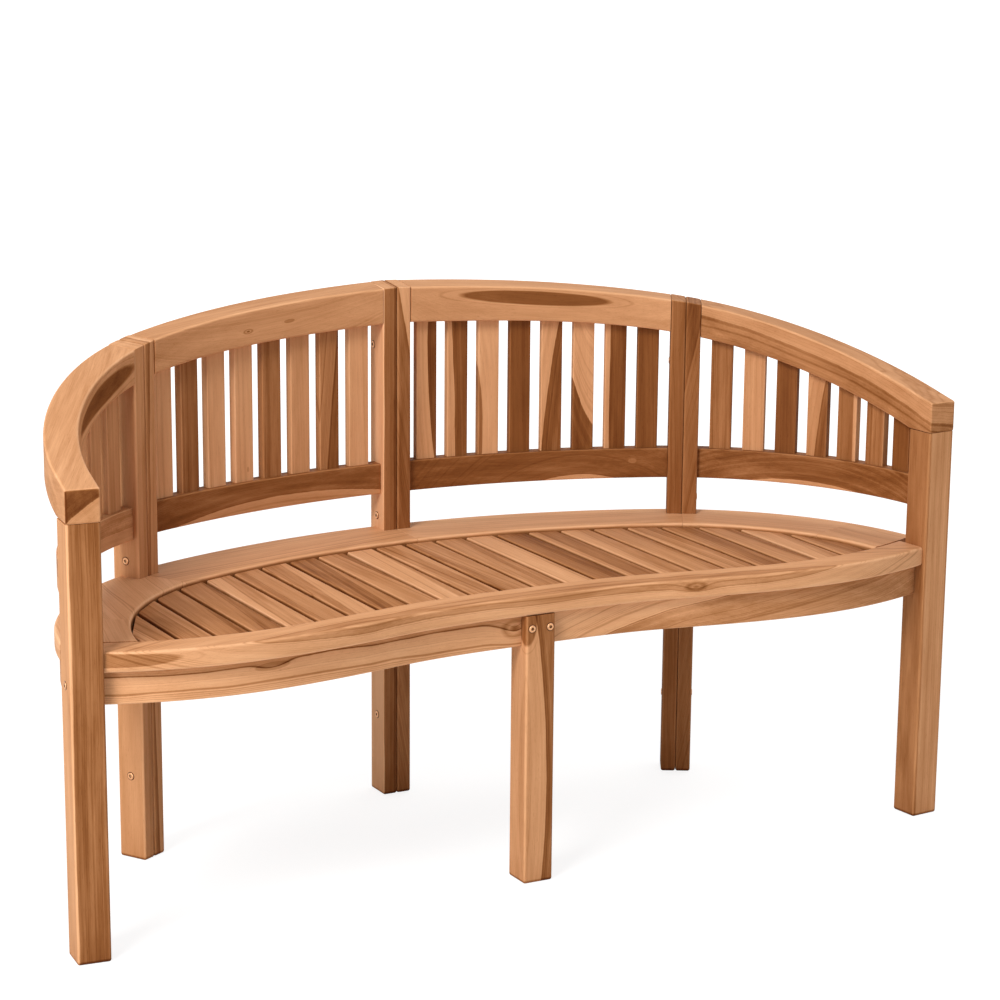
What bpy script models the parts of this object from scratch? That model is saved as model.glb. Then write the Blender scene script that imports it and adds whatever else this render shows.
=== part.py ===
"""Curved garden bench in solid teak, for three people.

The back and the arms follow one arch in plan, made of a wide back arc and two tighter
corner arcs that meet it tangentially.  Places on the arch are given by s, the distance
along its centreline from the middle of the back, and by out, the distance outside it.
The seat is a frame of boards with a double-lobed front edge, filled with slats that run
from front to back.  Six posts carry it, and the three at the back are split into half
posts, so that the back and arm panels bolt together.

While the pieces are made, y is 0 at the middle of the front posts' front faces.  An empty
then moves them so that the origin is on the floor, at the middle of the bench's box.
"""

import math

import bmesh
import bpy
from mathutils import Vector

# Plan of the arch
WIDTH = 1.500
POST = 0.050
ARM_RADIUS = 0.461
BLEND_ANGLE = math.radians(22.3)
CORNER_ANGLE = math.radians(30.0)
ARM_END_ANGLE = math.radians(84.5)
SIDE_JOINT_ANGLE = math.radians(66.0)

# Top rail: rise of its outer top arris above the seat, its depth, and its slopes
BACK_RISE_CENTRE = 0.405
BACK_RISE_CORNER = 0.3615
ARM_RISE = 0.236
CREST_SLOPE_CENTRE = -0.036
CREST_SLOPE_CORNER = -0.16
CREST_SLOPE_FRONT = -0.25
RAIL_DEPTH_CENTRE = 0.063
RAIL_DEPTH_CORNER = 0.057
RAIL_DEPTH_FRONT = 0.049
UNDER_SLOPE_CENTRE = -0.05
UNDER_SLOPE_CORNER = -0.17
UNDER_SLOPE_FRONT = -0.28
TOP_TILT = 0.006

# Seat heights and sections
SEAT_TOP = 0.455
BOARD = 0.030
APRON_HEIGHT = 0.050
APRON = 0.022
SLAT_SINK = 0.005
SEAT_SLAT = 0.025
SEAT_SLAT_WIDTH = 0.047
SEAT_SLAT_SPACE = 0.0073
CORNER_RELIEF = 0.009

# Seat plan
FRONT_SHOULDER = 0.230
FRONT_LOBE = 0.480
APRON_Y_CENTRE = 0.024
APRON_Y_SHOULDER = 0.0095
APRON_Y_LOBE = -0.0225
APRON_Y_POST = 0.020
APRON_SLOPE_SHOULDER = -0.19
APRON_SLOPE_POST = 0.40
OVERHANG = 0.015
FRONT_BOARD = 0.056
SEAT_EDGE = 0.015
BACK_BOARD_INSIDE = 0.100
SIDE_BOARD_INSIDE = 0.088
CENTRE_POST_STEP = 0.001
SLOPE_STEP = 0.020

# Back and arm panels
LOWER_RAIL_RISE = 0.060
LOWER_RAIL_HEIGHT = 0.050
LOWER_RAIL = 0.030
BACK_SLAT = 0.015
BACK_SLAT_WIDTH = 0.036
BACK_SLAT_SPACE = 0.019
BACK_SLAT_HOUSING = 0.010

# Joints
TENON = 0.015
LONG_TENON = 0.030
CENTRE_TENON = 0.020
FRONT_TENON_WALL = 0.004
BEARER_TENON_WALL = 0.002
TENON_THICKNESS = 0.012
TENON_SHOULDER = 0.010
TONGUE = 0.009
TONGUE_THICKNESS = 0.009
CLEARANCE = 0.0003
SLAT_END_GAP = 0.0006
OVERRUN = 0.020
BEARER = 0.030

# Bolts
BOLT_RADIUS = 0.003
BOLT_HEAD_RADIUS = 0.005
BOLT_HEAD = 0.0012
SOCKET_RADIUS = 0.0022
SOCKET_DEPTH = 0.0045
LOW_BOLT_Z = 0.135
MIDDLE_BOLT_RISE = 0.021
TOP_BOLT_DROP = 0.102
SEAT_BOLT_DROP = 0.020
CENTRE_BOLT_SIDE = 0.0155
CENTRE_BOLT_WALL = 0.005
BOLT_SIDES = 16

# Rounded arrises and facets
POST_ARRIS = 0.003
RAIL_ARRIS = 0.005
BOARD_ARRIS = 0.004
SLAT_ARRIS = 0.0025
THIN_ARRIS = 0.002
RAIL_SLICES = 12
BOARD_SLICES = 12
FRONT_SLICES = 48

# Colours
WOOD_COLOUR = (0.545, 0.270, 0.130, 1.0)
WOOD_ROUGHNESS = 0.55
METAL_COLOUR = (0.620, 0.440, 0.250, 1.0)
METAL_ROUGHNESS = 0.35

# The arch, worked out from its driving sizes
END_SINE = math.sin(ARM_END_ANGLE)
END_COSINE = math.cos(ARM_END_ANGLE)
CORNER_CENTRE_X = WIDTH / 2 - (ARM_RADIUS + POST / 2) * END_SINE - POST * END_COSINE
CORNER_CENTRE_Y = POST * END_SINE - ARM_RADIUS * END_COSINE
BLEND_X = CORNER_CENTRE_X + ARM_RADIUS * math.sin(BLEND_ANGLE)
BACK_RADIUS = BLEND_X / math.sin(BLEND_ANGLE)
BACK_CENTRE_Y = CORNER_CENTRE_Y + (ARM_RADIUS - BACK_RADIUS) * math.cos(BLEND_ANGLE)
S_BLEND = BACK_RADIUS * BLEND_ANGLE
S_CORNER = S_BLEND + ARM_RADIUS * (CORNER_ANGLE - BLEND_ANGLE)
S_SIDE_JOINT = S_BLEND + ARM_RADIUS * (SIDE_JOINT_ANGLE - BLEND_ANGLE)
S_ARM_END = S_BLEND + ARM_RADIUS * (ARM_END_ANGLE - BLEND_ANGLE)
S_FRONT = S_ARM_END + POST
INNER_FACE_X = WIDTH / 2 - POST * END_SINE
CENTRE_POST_Y = APRON_Y_CENTRE - OVERHANG - CENTRE_POST_STEP + POST / 2
LOBE_FRONT_Y = APRON_Y_LOBE - OVERHANG
BACK_FACE_Y = BACK_CENTRE_Y + BACK_RADIUS + POST / 2
BOARD_UNDER = SEAT_TOP - BOARD
APRON_UNDER = BOARD_UNDER - APRON_HEIGHT
SLAT_TOP = SEAT_TOP - SLAT_SINK
SLAT_UNDER = SLAT_TOP - SEAT_SLAT
TONGUE_MIDDLE = (SLAT_TOP + SLAT_UNDER) / 2
CREST_CENTRE = SEAT_TOP + BACK_RISE_CENTRE
CREST_CORNER = SEAT_TOP + BACK_RISE_CORNER
CREST_FRONT = SEAT_TOP + ARM_RISE
UNDER_CENTRE = CREST_CENTRE - RAIL_DEPTH_CENTRE
UNDER_CORNER = CREST_CORNER - RAIL_DEPTH_CORNER
FRONT_POST_TOP = CREST_FRONT - RAIL_DEPTH_FRONT
LOWER_RAIL_UNDER = SEAT_TOP + LOWER_RAIL_RISE
LOWER_RAIL_TOP = LOWER_RAIL_UNDER + LOWER_RAIL_HEIGHT
# Tenons that stop short of the ones that cross their way inside a post
FRONT_TENON = (POST - TENON_THICKNESS) / 2 - FRONT_TENON_WALL
CENTRE_POST_BACK_Y = CENTRE_POST_Y + POST / 2
CENTRE_APRON_TENON_BACK_Y = APRON_Y_CENTRE + (APRON + TENON_THICKNESS) / 2
BEARER_TENON = CENTRE_POST_BACK_Y - CENTRE_APRON_TENON_BACK_Y - BEARER_TENON_WALL
SIDES = (("left", -1), ("right", 1))


def hermite(value, start, end, height_0, height_1, slope_0, slope_1):
    """Cubic from height_0 at start to height_1 at end, with the given slopes."""
    length = end - start
    t = (value - start) / length
    return (
        height_0 * (2 * t**3 - 3 * t**2 + 1)
        + slope_0 * length * (t**3 - 2 * t**2 + t)
        + height_1 * (3 * t**2 - 2 * t**3)
        + slope_1 * length * (t**3 - t**2)
    )


def arch(s, out):
    """Point of the arch's right half at s, out metres outside its centreline.

    The arch runs straight over the front post, which is squared to it.
    """
    if s < S_BLEND:
        angle = s / BACK_RADIUS
        radius = BACK_RADIUS + out
        return Vector((radius * math.sin(angle), BACK_CENTRE_Y + radius * math.cos(angle)))
    angle = BLEND_ANGLE + (min(s, S_ARM_END) - S_BLEND) / ARM_RADIUS
    radius = ARM_RADIUS + out
    straight = max(s - S_ARM_END, 0)
    x = CORNER_CENTRE_X + radius * math.sin(angle) + straight * math.cos(angle)
    y = CORNER_CENTRE_Y + radius * math.cos(angle) - straight * math.sin(angle)
    return Vector((x, y))


def arch_frame(s):
    """Centreline point at s, with the unit vectors along the arch and outward."""
    point = arch(s, 0)
    outward = (arch(s, POST) - point).normalized()
    return point, Vector((outward.y, -outward.x)), outward


def face_of_post(s_post, distance):
    """Function of out: the s where the arch crosses a plane parallel to the post's side."""
    point, along, _ = arch_frame(s_post)

    def crossing(out):
        s = s_post + distance
        for _ in range(6):
            s -= (arch(s, out) - point).dot(along) - distance
        return s

    return crossing


def crest(s, out=0):
    """Height of the top rail's upper surface, which tilts inward toward the back centre."""
    if s < S_CORNER:
        height = hermite(
            s, 0, S_CORNER, CREST_CENTRE, CREST_CORNER, CREST_SLOPE_CENTRE, CREST_SLOPE_CORNER
        )
    else:
        height = hermite(
            s, S_CORNER, S_FRONT, CREST_CORNER, CREST_FRONT, CREST_SLOPE_CORNER, CREST_SLOPE_FRONT
        )
    inward_share = (POST / 2 - out) / POST
    return height - TOP_TILT * (1 - s / S_FRONT) * inward_share


def rail_under(s, out=0):
    """Height of the top rail's underside, level over the front post."""
    if s < S_CORNER:
        return hermite(
            s, 0, S_CORNER, UNDER_CENTRE, UNDER_CORNER, UNDER_SLOPE_CENTRE, UNDER_SLOPE_CORNER
        )
    seat_of_rail = FRONT_POST_TOP + CLEARANCE
    if s > S_FRONT - POST:
        return seat_of_rail
    return hermite(
        s, S_CORNER, S_FRONT - POST, UNDER_CORNER, seat_of_rail, UNDER_SLOPE_CORNER, UNDER_SLOPE_FRONT
    )


def level(height):
    """Height function of a flat surface."""
    return lambda s, out=0: height


def board_inside(s):
    """Distance from the centreline to the inner edge of the seat boards, outward positive."""
    narrowing = (BACK_BOARD_INSIDE - SIDE_BOARD_INSIDE) * (s / S_FRONT) ** 2
    return narrowing - BACK_BOARD_INSIDE


def apron_front(x):
    """Front face of the front apron: a double-lobed curve, drawn for x on the right half."""
    x = abs(x)
    if x < FRONT_SHOULDER:
        return hermite(
            x, 0, FRONT_SHOULDER, APRON_Y_CENTRE, APRON_Y_SHOULDER, 0, APRON_SLOPE_SHOULDER
        )
    if x < FRONT_LOBE:
        return hermite(
            x, FRONT_SHOULDER, FRONT_LOBE, APRON_Y_SHOULDER, APRON_Y_LOBE, APRON_SLOPE_SHOULDER, 0
        )
    return hermite(x, FRONT_LOBE, INNER_FACE_X, APRON_Y_LOBE, APRON_Y_POST, 0, APRON_SLOPE_POST)


def front(x, depth):
    """Point at x that lies depth metres behind the apron's front face."""
    slope = (apron_front(x + SLOPE_STEP) - apron_front(x - SLOPE_STEP)) / (2 * SLOPE_STEP)
    return Vector((x, apron_front(x) + depth * math.hypot(1, slope)))


def inner_face(distance):
    """Function of depth: the x at which the front edge meets a front post's inner face.

    The face may be moved by distance toward the bench's middle.
    """
    point, _, outward = arch_frame(S_FRONT)

    def meeting(depth):
        x = INNER_FACE_X
        for _ in range(6):
            past = (front(x, depth) - point).dot(outward) + POST / 2 + distance
            x -= past / outward.x
        return x

    return meeting


def field_back(x, grow):
    """Back edge of the slatted field at x, moved grow metres into the boards."""
    low, high = 0, S_FRONT
    for _ in range(40):
        s = (low + high) / 2
        if arch(s, board_inside(s) + grow).x < abs(x):
            low = s
        else:
            high = s
    return arch(low, board_inside(low) + grow).y


def field_front(x, grow):
    """Front edge of the slatted field at x, moved grow metres into the front board."""
    return front(x, FRONT_BOARD - OVERHANG - grow).y


def field_corner():
    """Distance from the middle to the point where the field's two edges meet."""
    low, high = 0, INNER_FACE_X
    for _ in range(40):
        x = (low + high) / 2
        if field_back(x, 0) > field_front(x, 0):
            low = x
        else:
            high = x
    return low


def wood(name):
    """Teak of one sub-part."""
    material = bpy.data.materials.new(name + "_teak")
    material.use_nodes = True
    shader = material.node_tree.nodes["Principled BSDF"]
    shader.inputs["Base Color"].default_value = WOOD_COLOUR
    shader.inputs["Roughness"].default_value = WOOD_ROUGHNESS
    shader.inputs["Metallic"].default_value = 0.0
    material.diffuse_color = WOOD_COLOUR
    return material


def metal(name):
    """Yellow passivated steel of one bolt."""
    material = bpy.data.materials.new(name + "_steel")
    material.use_nodes = True
    shader = material.node_tree.nodes["Principled BSDF"]
    shader.inputs["Base Color"].default_value = METAL_COLOUR
    shader.inputs["Roughness"].default_value = METAL_ROUGHNESS
    shader.inputs["Metallic"].default_value = 1.0
    material.diffuse_color = METAL_COLOUR
    return material


def add_block(bm, slices, place, mirrored=False):
    """Adds a cube, cut into slices along u, and moves its corners by place(u, v, w).

    u, v and w run from 0 to 1 along the block, across it and up.
    """
    earlier = set(bm.verts)
    corners = bmesh.ops.create_cube(bm, size=1)["verts"]
    along = {edge for vert in corners for edge in vert.link_edges}
    along = [edge for edge in along if abs(edge.verts[0].co.x - edge.verts[1].co.x) > 0.5]
    if slices > 1:
        bmesh.ops.subdivide_edges(bm, edges=along, cuts=slices - 1, use_grid_fill=True)
    made = [vert for vert in bm.verts if vert not in earlier]
    for vert in made:
        u, v, w = (value + 0.5 for value in vert.co)
        vert.co = place(u, v, w)
    if mirrored:
        faces = {face for vert in made for face in vert.link_faces}
        bmesh.ops.reverse_faces(bm, faces=list(faces))


def finish_object(bm, name, collection, material=None):
    """Turns bm into a named object under the empty that carries the bench."""
    mesh = bpy.data.meshes.new(name)
    bm.to_mesh(mesh)
    bm.free()
    piece = bpy.data.objects.new(name, mesh)
    collection.objects.link(piece)
    piece.parent = BENCH
    if material is None:
        piece.hide_render = True
        piece.display_type = "WIRE"
    else:
        mesh.materials.append(material)
    return piece


def round_arrises(piece, width, segments=1):
    """Rounds the sharp edges of a piece."""
    bevel = piece.modifiers.new("arrises", "BEVEL")
    bevel.width = width
    bevel.segments = segments
    bevel.limit_method = "ANGLE"
    bevel.angle_limit = math.radians(50.0)


def combine(piece, other, operation):
    """Cuts other out of a piece, or joins it to the piece."""
    boolean = piece.modifiers.new(other.name, "BOOLEAN")
    boolean.operation = operation
    boolean.object = other
    boolean.solver = "EXACT"


def on_arch(side, ends, outs, heights):
    """Placing function of a block bent along the arch.

    ends gives s at both ends as functions of out, outs gives out at both faces as
    functions of s, and heights gives the lower and upper surfaces.
    """

    def place(u, v, w):
        middle = ends[0](0) + u * (ends[1](0) - ends[0](0))
        out = outs[0](middle) + v * (outs[1](middle) - outs[0](middle))
        s = ends[0](out) + u * (ends[1](out) - ends[0](out))
        point = arch(s, out)
        height = heights[1](s, out) if w > 0.5 else heights[0](s, out)
        return Vector((side * point.x, point.y, height))

    return place


def across(centre, thickness):
    """Both faces of a board of even thickness, as functions of s."""
    return (lambda s: centre - thickness / 2), (lambda s: centre + thickness / 2)


def on_post(side, s_post, alongs, outs, heights):
    """Placing function of a straight block squared to a post on the arch."""
    point, along, outward = arch_frame(s_post)

    def place(u, v, w):
        distance = alongs[0] + u * (alongs[1] - alongs[0])
        out = outs[0] + v * (outs[1] - outs[0])
        spot = point + distance * along + out * outward
        height = heights[1](s_post + distance, out) if w > 0.5 else heights[0](s_post + distance, out)
        return Vector((side * spot.x, spot.y, height))

    return place


def box(low, high):
    """Placing function of an upright box between two corners."""
    return lambda u, v, w: Vector(
        (
            low[0] + u * (high[0] - low[0]),
            low[1] + v * (high[1] - low[1]),
            low[2] + w * (high[2] - low[2]),
        )
    )


def tenon_place(side, s_post, distances, centre, heights, grow):
    """Placing function of a tenon that enters a post, or with grow, of its mortise."""
    shrink = TENON_SHOULDER - grow
    ends = [face_of_post(s_post, distance) for distance in distances]
    low = lambda s, out=0: heights[0](s, out) + shrink
    high = lambda s, out=0: heights[1](s, out) - shrink
    return on_arch(side, ends, across(centre, TENON_THICKNESS + 2 * grow), (low, high))


def add_member(name, side, posts, centre, thickness, heights, tenons, arris, slices):
    """A rail or apron bent along the arch, tenoned into a post at one end or both.

    posts holds, for each end, the post's s and the signed distance from it to the face
    that the member meets.  tenons holds each tenon's length, 0 for none.
    """
    mirrored = side < 0
    starts = (posts[0][0], posts[0][1] + CLEARANCE)
    stops = (posts[1][0], posts[1][1] - CLEARANCE)
    bm = bmesh.new()
    ends = (face_of_post(*starts), face_of_post(*stops))
    add_block(bm, slices, on_arch(side, ends, across(centre, thickness), heights), mirrored)
    member = finish_object(bm, name, PIECES, wood(name))
    round_arrises(member, arris)
    for number, (s_post, face) in enumerate((starts, stops)):
        if tenons[number] == 0:
            continue
        inward = 1 if number == 0 else -1
        reach = face - inward * tenons[number]
        root = face + inward * TENON
        distances = sorted((reach, root))
        bm = bmesh.new()
        add_block(bm, 1, tenon_place(side, s_post, distances, centre, heights, 0), mirrored)
        tenon = finish_object(bm, f"{name}_tenon_{number}", CUTTERS)
        combine(member, tenon, "UNION")
        distances = sorted((reach - inward * CLEARANCE, root))
        bm = bmesh.new()
        add_block(bm, 1, tenon_place(side, s_post, distances, centre, heights, CLEARANCE), mirrored)
        MORTISES.setdefault((s_post, side, inward), []).append(
            finish_object(bm, f"{name}_mortise_{number}", CUTTERS)
        )
    return member


def add_bolt(name, length, location, rotation, far_head):
    """A turned connector bolt: head with a socket, shank, and a second head or none."""
    profile = [
        (0, -SOCKET_DEPTH),
        (SOCKET_RADIUS, -SOCKET_DEPTH),
        (SOCKET_RADIUS, BOLT_HEAD),
        (BOLT_HEAD_RADIUS - BOLT_HEAD / 3, BOLT_HEAD),
        (BOLT_HEAD_RADIUS, BOLT_HEAD * 2 / 3),
        (BOLT_HEAD_RADIUS, CLEARANCE),
        (BOLT_RADIUS, CLEARANCE),
    ]
    if far_head:
        profile += [
            (BOLT_RADIUS, -length - CLEARANCE),
            (BOLT_HEAD_RADIUS, -length - CLEARANCE),
            (BOLT_HEAD_RADIUS, -length - BOLT_HEAD),
        ]
    else:
        profile.append((BOLT_RADIUS, -length))
    profile.append((0, profile[-1][1]))
    bm = bmesh.new()
    verts = [bm.verts.new((radius, 0, height)) for radius, height in profile]
    for first, second in zip(verts, verts[1:]):
        bm.edges.new((first, second))
    bolt = finish_object(bm, name, PIECES, metal(name))
    screw = bolt.modifiers.new("turned", "SCREW")
    screw.steps = BOLT_SIDES
    screw.render_steps = BOLT_SIDES
    screw.use_merge_vertices = True
    screw.merge_threshold = CLEARANCE / 10
    screw.use_normal_flip = False
    bolt.location = location
    bolt.rotation_euler = rotation
    return bolt


def add_bore(name, length, location, rotation):
    """Cutter for the hole of a bolt, from its face inward."""
    bm = bmesh.new()
    made = bmesh.ops.create_cone(
        bm,
        cap_ends=True,
        segments=BOLT_SIDES,
        radius1=BOLT_RADIUS + CLEARANCE,
        radius2=BOLT_RADIUS + CLEARANCE,
        depth=length + OVERRUN,
    )
    bmesh.ops.translate(bm, verts=made["verts"], vec=(0, 0, (OVERRUN - length) / 2))
    bore = finish_object(bm, name, CUTTERS)
    bore.location = location
    bore.rotation_euler = rotation
    return bore


def add_half_posts():
    """The back centre post and the two corner posts, each of two half posts."""
    halves = {}
    places = [("back_centre_post", 0, 1), ("corner_post", S_CORNER, -1), ("corner_post", S_CORNER, 1)]
    for label, s_post, side in places:
        post_label = label if s_post == 0 else ("left_" if side < 0 else "right_") + label
        for half, direction in (("inner", -1), ("outer", 1)):
            if s_post == 0:
                half = "left" if direction < 0 else "right"
            alongs = sorted((direction * CLEARANCE / 2, direction * POST / 2))
            name = f"{post_label}_{half}_half"
            bm = bmesh.new()
            # crest() serves the right half of the arch, and the centre post is mirrored about it
            top = lambda s, out=0: crest(abs(s), out)
            place = on_post(side, s_post, alongs, (-POST / 2, POST / 2), (level(0), top))
            add_block(bm, 1, place, side < 0)
            piece = finish_object(bm, name, PIECES, wood(name))
            round_arrises(piece, POST_ARRIS)
            halves[(s_post, side, direction)] = piece
    return halves


def add_front_posts():
    """Two front posts that reach the arm rails, and a short one under the seat's middle."""
    posts = {}
    half = POST / 2
    for label, side in SIDES:
        name = f"{label}_front_post"
        heights = (level(0), level(FRONT_POST_TOP))
        bm = bmesh.new()
        add_block(bm, 1, on_post(side, S_FRONT, (-POST, 0), (-half, half), heights), side < 0)
        posts[side] = finish_object(bm, name, PIECES, wood(name))
        round_arrises(posts[side], POST_ARRIS)
        # A stub on the post's top enters the underside of the arm rail
        for grow, role in ((0, "stub"), (CLEARANCE, "socket")):
            reach = (-half / 2 - grow, half / 2 + grow)
            heights = (level(FRONT_POST_TOP - TENON), level(FRONT_POST_TOP + TENON + grow))
            bm = bmesh.new()
            add_block(bm, 1, on_post(side, S_FRONT - half, reach, reach, heights), side < 0)
            block = finish_object(bm, f"{name}_{role}", CUTTERS)
            if role == "stub":
                combine(posts[side], block, "UNION")
            else:
                ARM_SOCKETS[side] = block
    bm = bmesh.new()
    low = (-half, CENTRE_POST_Y - half, 0)
    high = (half, CENTRE_POST_Y + half, BOARD_UNDER - CLEARANCE)
    add_block(bm, 1, box(low, high))
    posts[0] = finish_object(bm, "front_centre_post", PIECES, wood("front_centre_post"))
    round_arrises(posts[0], POST_ARRIS)
    return posts


def back_slat_count(length):
    """Number of slats that fills a panel of the given clear length."""
    return round((length - BACK_SLAT_SPACE) / (BACK_SLAT_WIDTH + BACK_SLAT_SPACE))


def add_panels():
    """Top rails, and lower rails with their slats, of the two back and two arm panels."""
    spans = {
        "back": ((0, POST / 2), (S_CORNER, -POST / 2)),
        "arm": ((S_CORNER, POST / 2), (S_FRONT, -POST)),
    }
    half = POST / 2
    for (panel, posts), (label, side) in [(a, b) for a in spans.items() for b in SIDES]:
        mirrored = side < 0
        first = posts[0][0] + posts[0][1]
        last = posts[1][0] + posts[1][1]
        rail_name = f"{label}_{panel}_top_rail"
        if panel == "back":
            rail = add_member(
                rail_name, side, posts, 0, POST, (rail_under, crest), (TENON, TENON),
                RAIL_ARRIS, RAIL_SLICES,
            )
        else:
            rail = add_arm_rail(rail_name, side, posts[0])
        lower = add_member(
            f"{label}_{panel}_lower_rail_with_slats", side, posts, 0, LOWER_RAIL,
            (level(LOWER_RAIL_UNDER), level(LOWER_RAIL_TOP)), (TENON, TENON),
            THIN_ARRIS, RAIL_SLICES,
        )
        count = back_slat_count(last - first)
        space = (last - first - count * BACK_SLAT_WIDTH) / (count + 1)
        slats = bmesh.new()
        housings = bmesh.new()
        for number in range(count):
            s_slat = first + space + BACK_SLAT_WIDTH / 2 + number * (BACK_SLAT_WIDTH + space)
            add_block(slats, 1, slat_place(side, s_slat, 0), mirrored)
            add_block(housings, 1, slat_place(side, s_slat, CLEARANCE), mirrored)
        upright = [edge for edge in slats.edges if abs(edge.verts[0].co.z - edge.verts[1].co.z) > half]
        bmesh.ops.bevel(slats, geom=upright, offset=THIN_ARRIS, segments=1, affect="EDGES")
        combine(lower, finish_object(slats, f"{label}_{panel}_slats", CUTTERS), "UNION")
        combine(rail, finish_object(housings, f"{label}_{panel}_housings", CUTTERS), "DIFFERENCE")


def slat_place(side, s_slat, grow):
    """Placing function of a back slat, or with grow, of its housing in the top rail."""
    top = lambda s, out=0: rail_under(s) + BACK_SLAT_HOUSING + grow
    bottom = LOWER_RAIL_TOP - BACK_SLAT_HOUSING
    half = BACK_SLAT_WIDTH / 2 + grow
    outs = (-BACK_SLAT / 2 - grow, BACK_SLAT / 2 + grow)
    return on_post(side, s_slat, (-half, half), outs, (level(bottom), top))


def add_arm_rail(name, side, start):
    """Arm rail: from the corner post round to the front, its end resting on the front post."""
    level_from = S_FRONT - POST
    crossing = face_of_post(start[0], start[1] + CLEARANCE)
    whole = (crossing, lambda out: S_FRONT)
    body = on_arch(side, whole, across(0, POST), (rail_under, crest))
    # The last slice starts over the back face of the front post, where the underside is level
    level_share = (level_from - crossing(0)) / (S_FRONT - crossing(0))

    def place(u, v, w):
        slices = RAIL_SLICES
        even = u * slices / (slices - 1)
        share = even * level_share if u < 1 - 0.5 / slices else 1
        return body(share, v, w)

    bm = bmesh.new()
    add_block(bm, RAIL_SLICES, place, side < 0)
    rail = finish_object(bm, name, PIECES, wood(name))
    round_arrises(rail, RAIL_ARRIS)
    for grow, role in ((0, "tenon"), (CLEARANCE, "mortise")):
        face = start[1] + CLEARANCE
        distances = (face - TENON - grow, face + TENON)
        heights = (rail_under, crest)
        bm = bmesh.new()
        add_block(bm, 1, tenon_place(side, start[0], distances, 0, heights, grow), side < 0)
        block = finish_object(bm, f"{name}_{role}_0", CUTTERS)
        if role == "tenon":
            combine(rail, block, "UNION")
        else:
            MORTISES.setdefault((start[0], side, 1), []).append(block)
    combine(rail, ARM_SOCKETS[side], "DIFFERENCE")
    return rail


def add_aprons(front_posts):
    """Six aprons under the seat boards: curved back and side ones, and the wavy front ones."""
    heights = (level(APRON_UNDER), level(BOARD_UNDER - CLEARANCE))
    for label, side in SIDES:
        back_posts = ((0, POST / 2), (S_CORNER, -POST / 2))
        side_posts = ((S_CORNER, POST / 2), (S_FRONT, -POST))
        add_member(
            f"{label}_back_apron", side, back_posts, 0, APRON, heights, (TENON, TENON),
            THIN_ARRIS, RAIL_SLICES,
        )
        add_member(
            f"{label}_side_apron", side, side_posts, 0, APRON, heights, (TENON, LONG_TENON),
            THIN_ARRIS, RAIL_SLICES,
        )
        name = f"{label}_front_apron"
        ends = (beside_centre_post(CLEARANCE), inner_face(CLEARANCE))
        bm = bmesh.new()
        add_block(bm, FRONT_SLICES // 2, on_front(side, ends, (0, APRON), heights), side < 0)
        apron = finish_object(bm, name, PIECES, wood(name))
        round_arrises(apron, THIN_ARRIS)
        tenons = ((0, beside_centre_post, CENTRE_TENON), (side, inner_face, FRONT_TENON))
        for post, face, length in tenons:
            for grow, role in ((0, "tenon"), (CLEARANCE, "mortise")):
                ends = (face(CLEARANCE - length - grow), face(CLEARANCE + TENON))
                if post != 0:
                    ends = (ends[1], ends[0])
                shrink = (APRON - TENON_THICKNESS) / 2 - grow
                low = level(APRON_UNDER + TENON_SHOULDER - grow)
                high = level(BOARD_UNDER - TENON_SHOULDER + grow)
                bm = bmesh.new()
                place = on_front(side, ends, (shrink, APRON - shrink), (low, high))
                add_block(bm, 1, place, side < 0)
                block = finish_object(bm, f"{name}_{role}_{post}", CUTTERS)
                if role == "tenon":
                    combine(apron, block, "UNION")
                else:
                    combine(front_posts[post], block, "DIFFERENCE")
        FRONT_APRONS[side] = apron


def beside_centre_post(distance):
    """Function of depth: the x that lies distance outside the front centre post's face."""
    return lambda depth: POST / 2 + distance


def on_front(side, ends, depths, heights):
    """Placing function of a block bent along the seat's front edge.

    ends gives x at both ends as functions of depth.
    """

    def place(u, v, w):
        depth = depths[0] + v * (depths[1] - depths[0])
        x = ends[0](depth) + u * (ends[1](depth) - ends[0](depth))
        point = front(x, depth)
        height = heights[1](x) if w > 0.5 else heights[0](x)
        return Vector((side * point.x, point.y, height))

    return place


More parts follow.
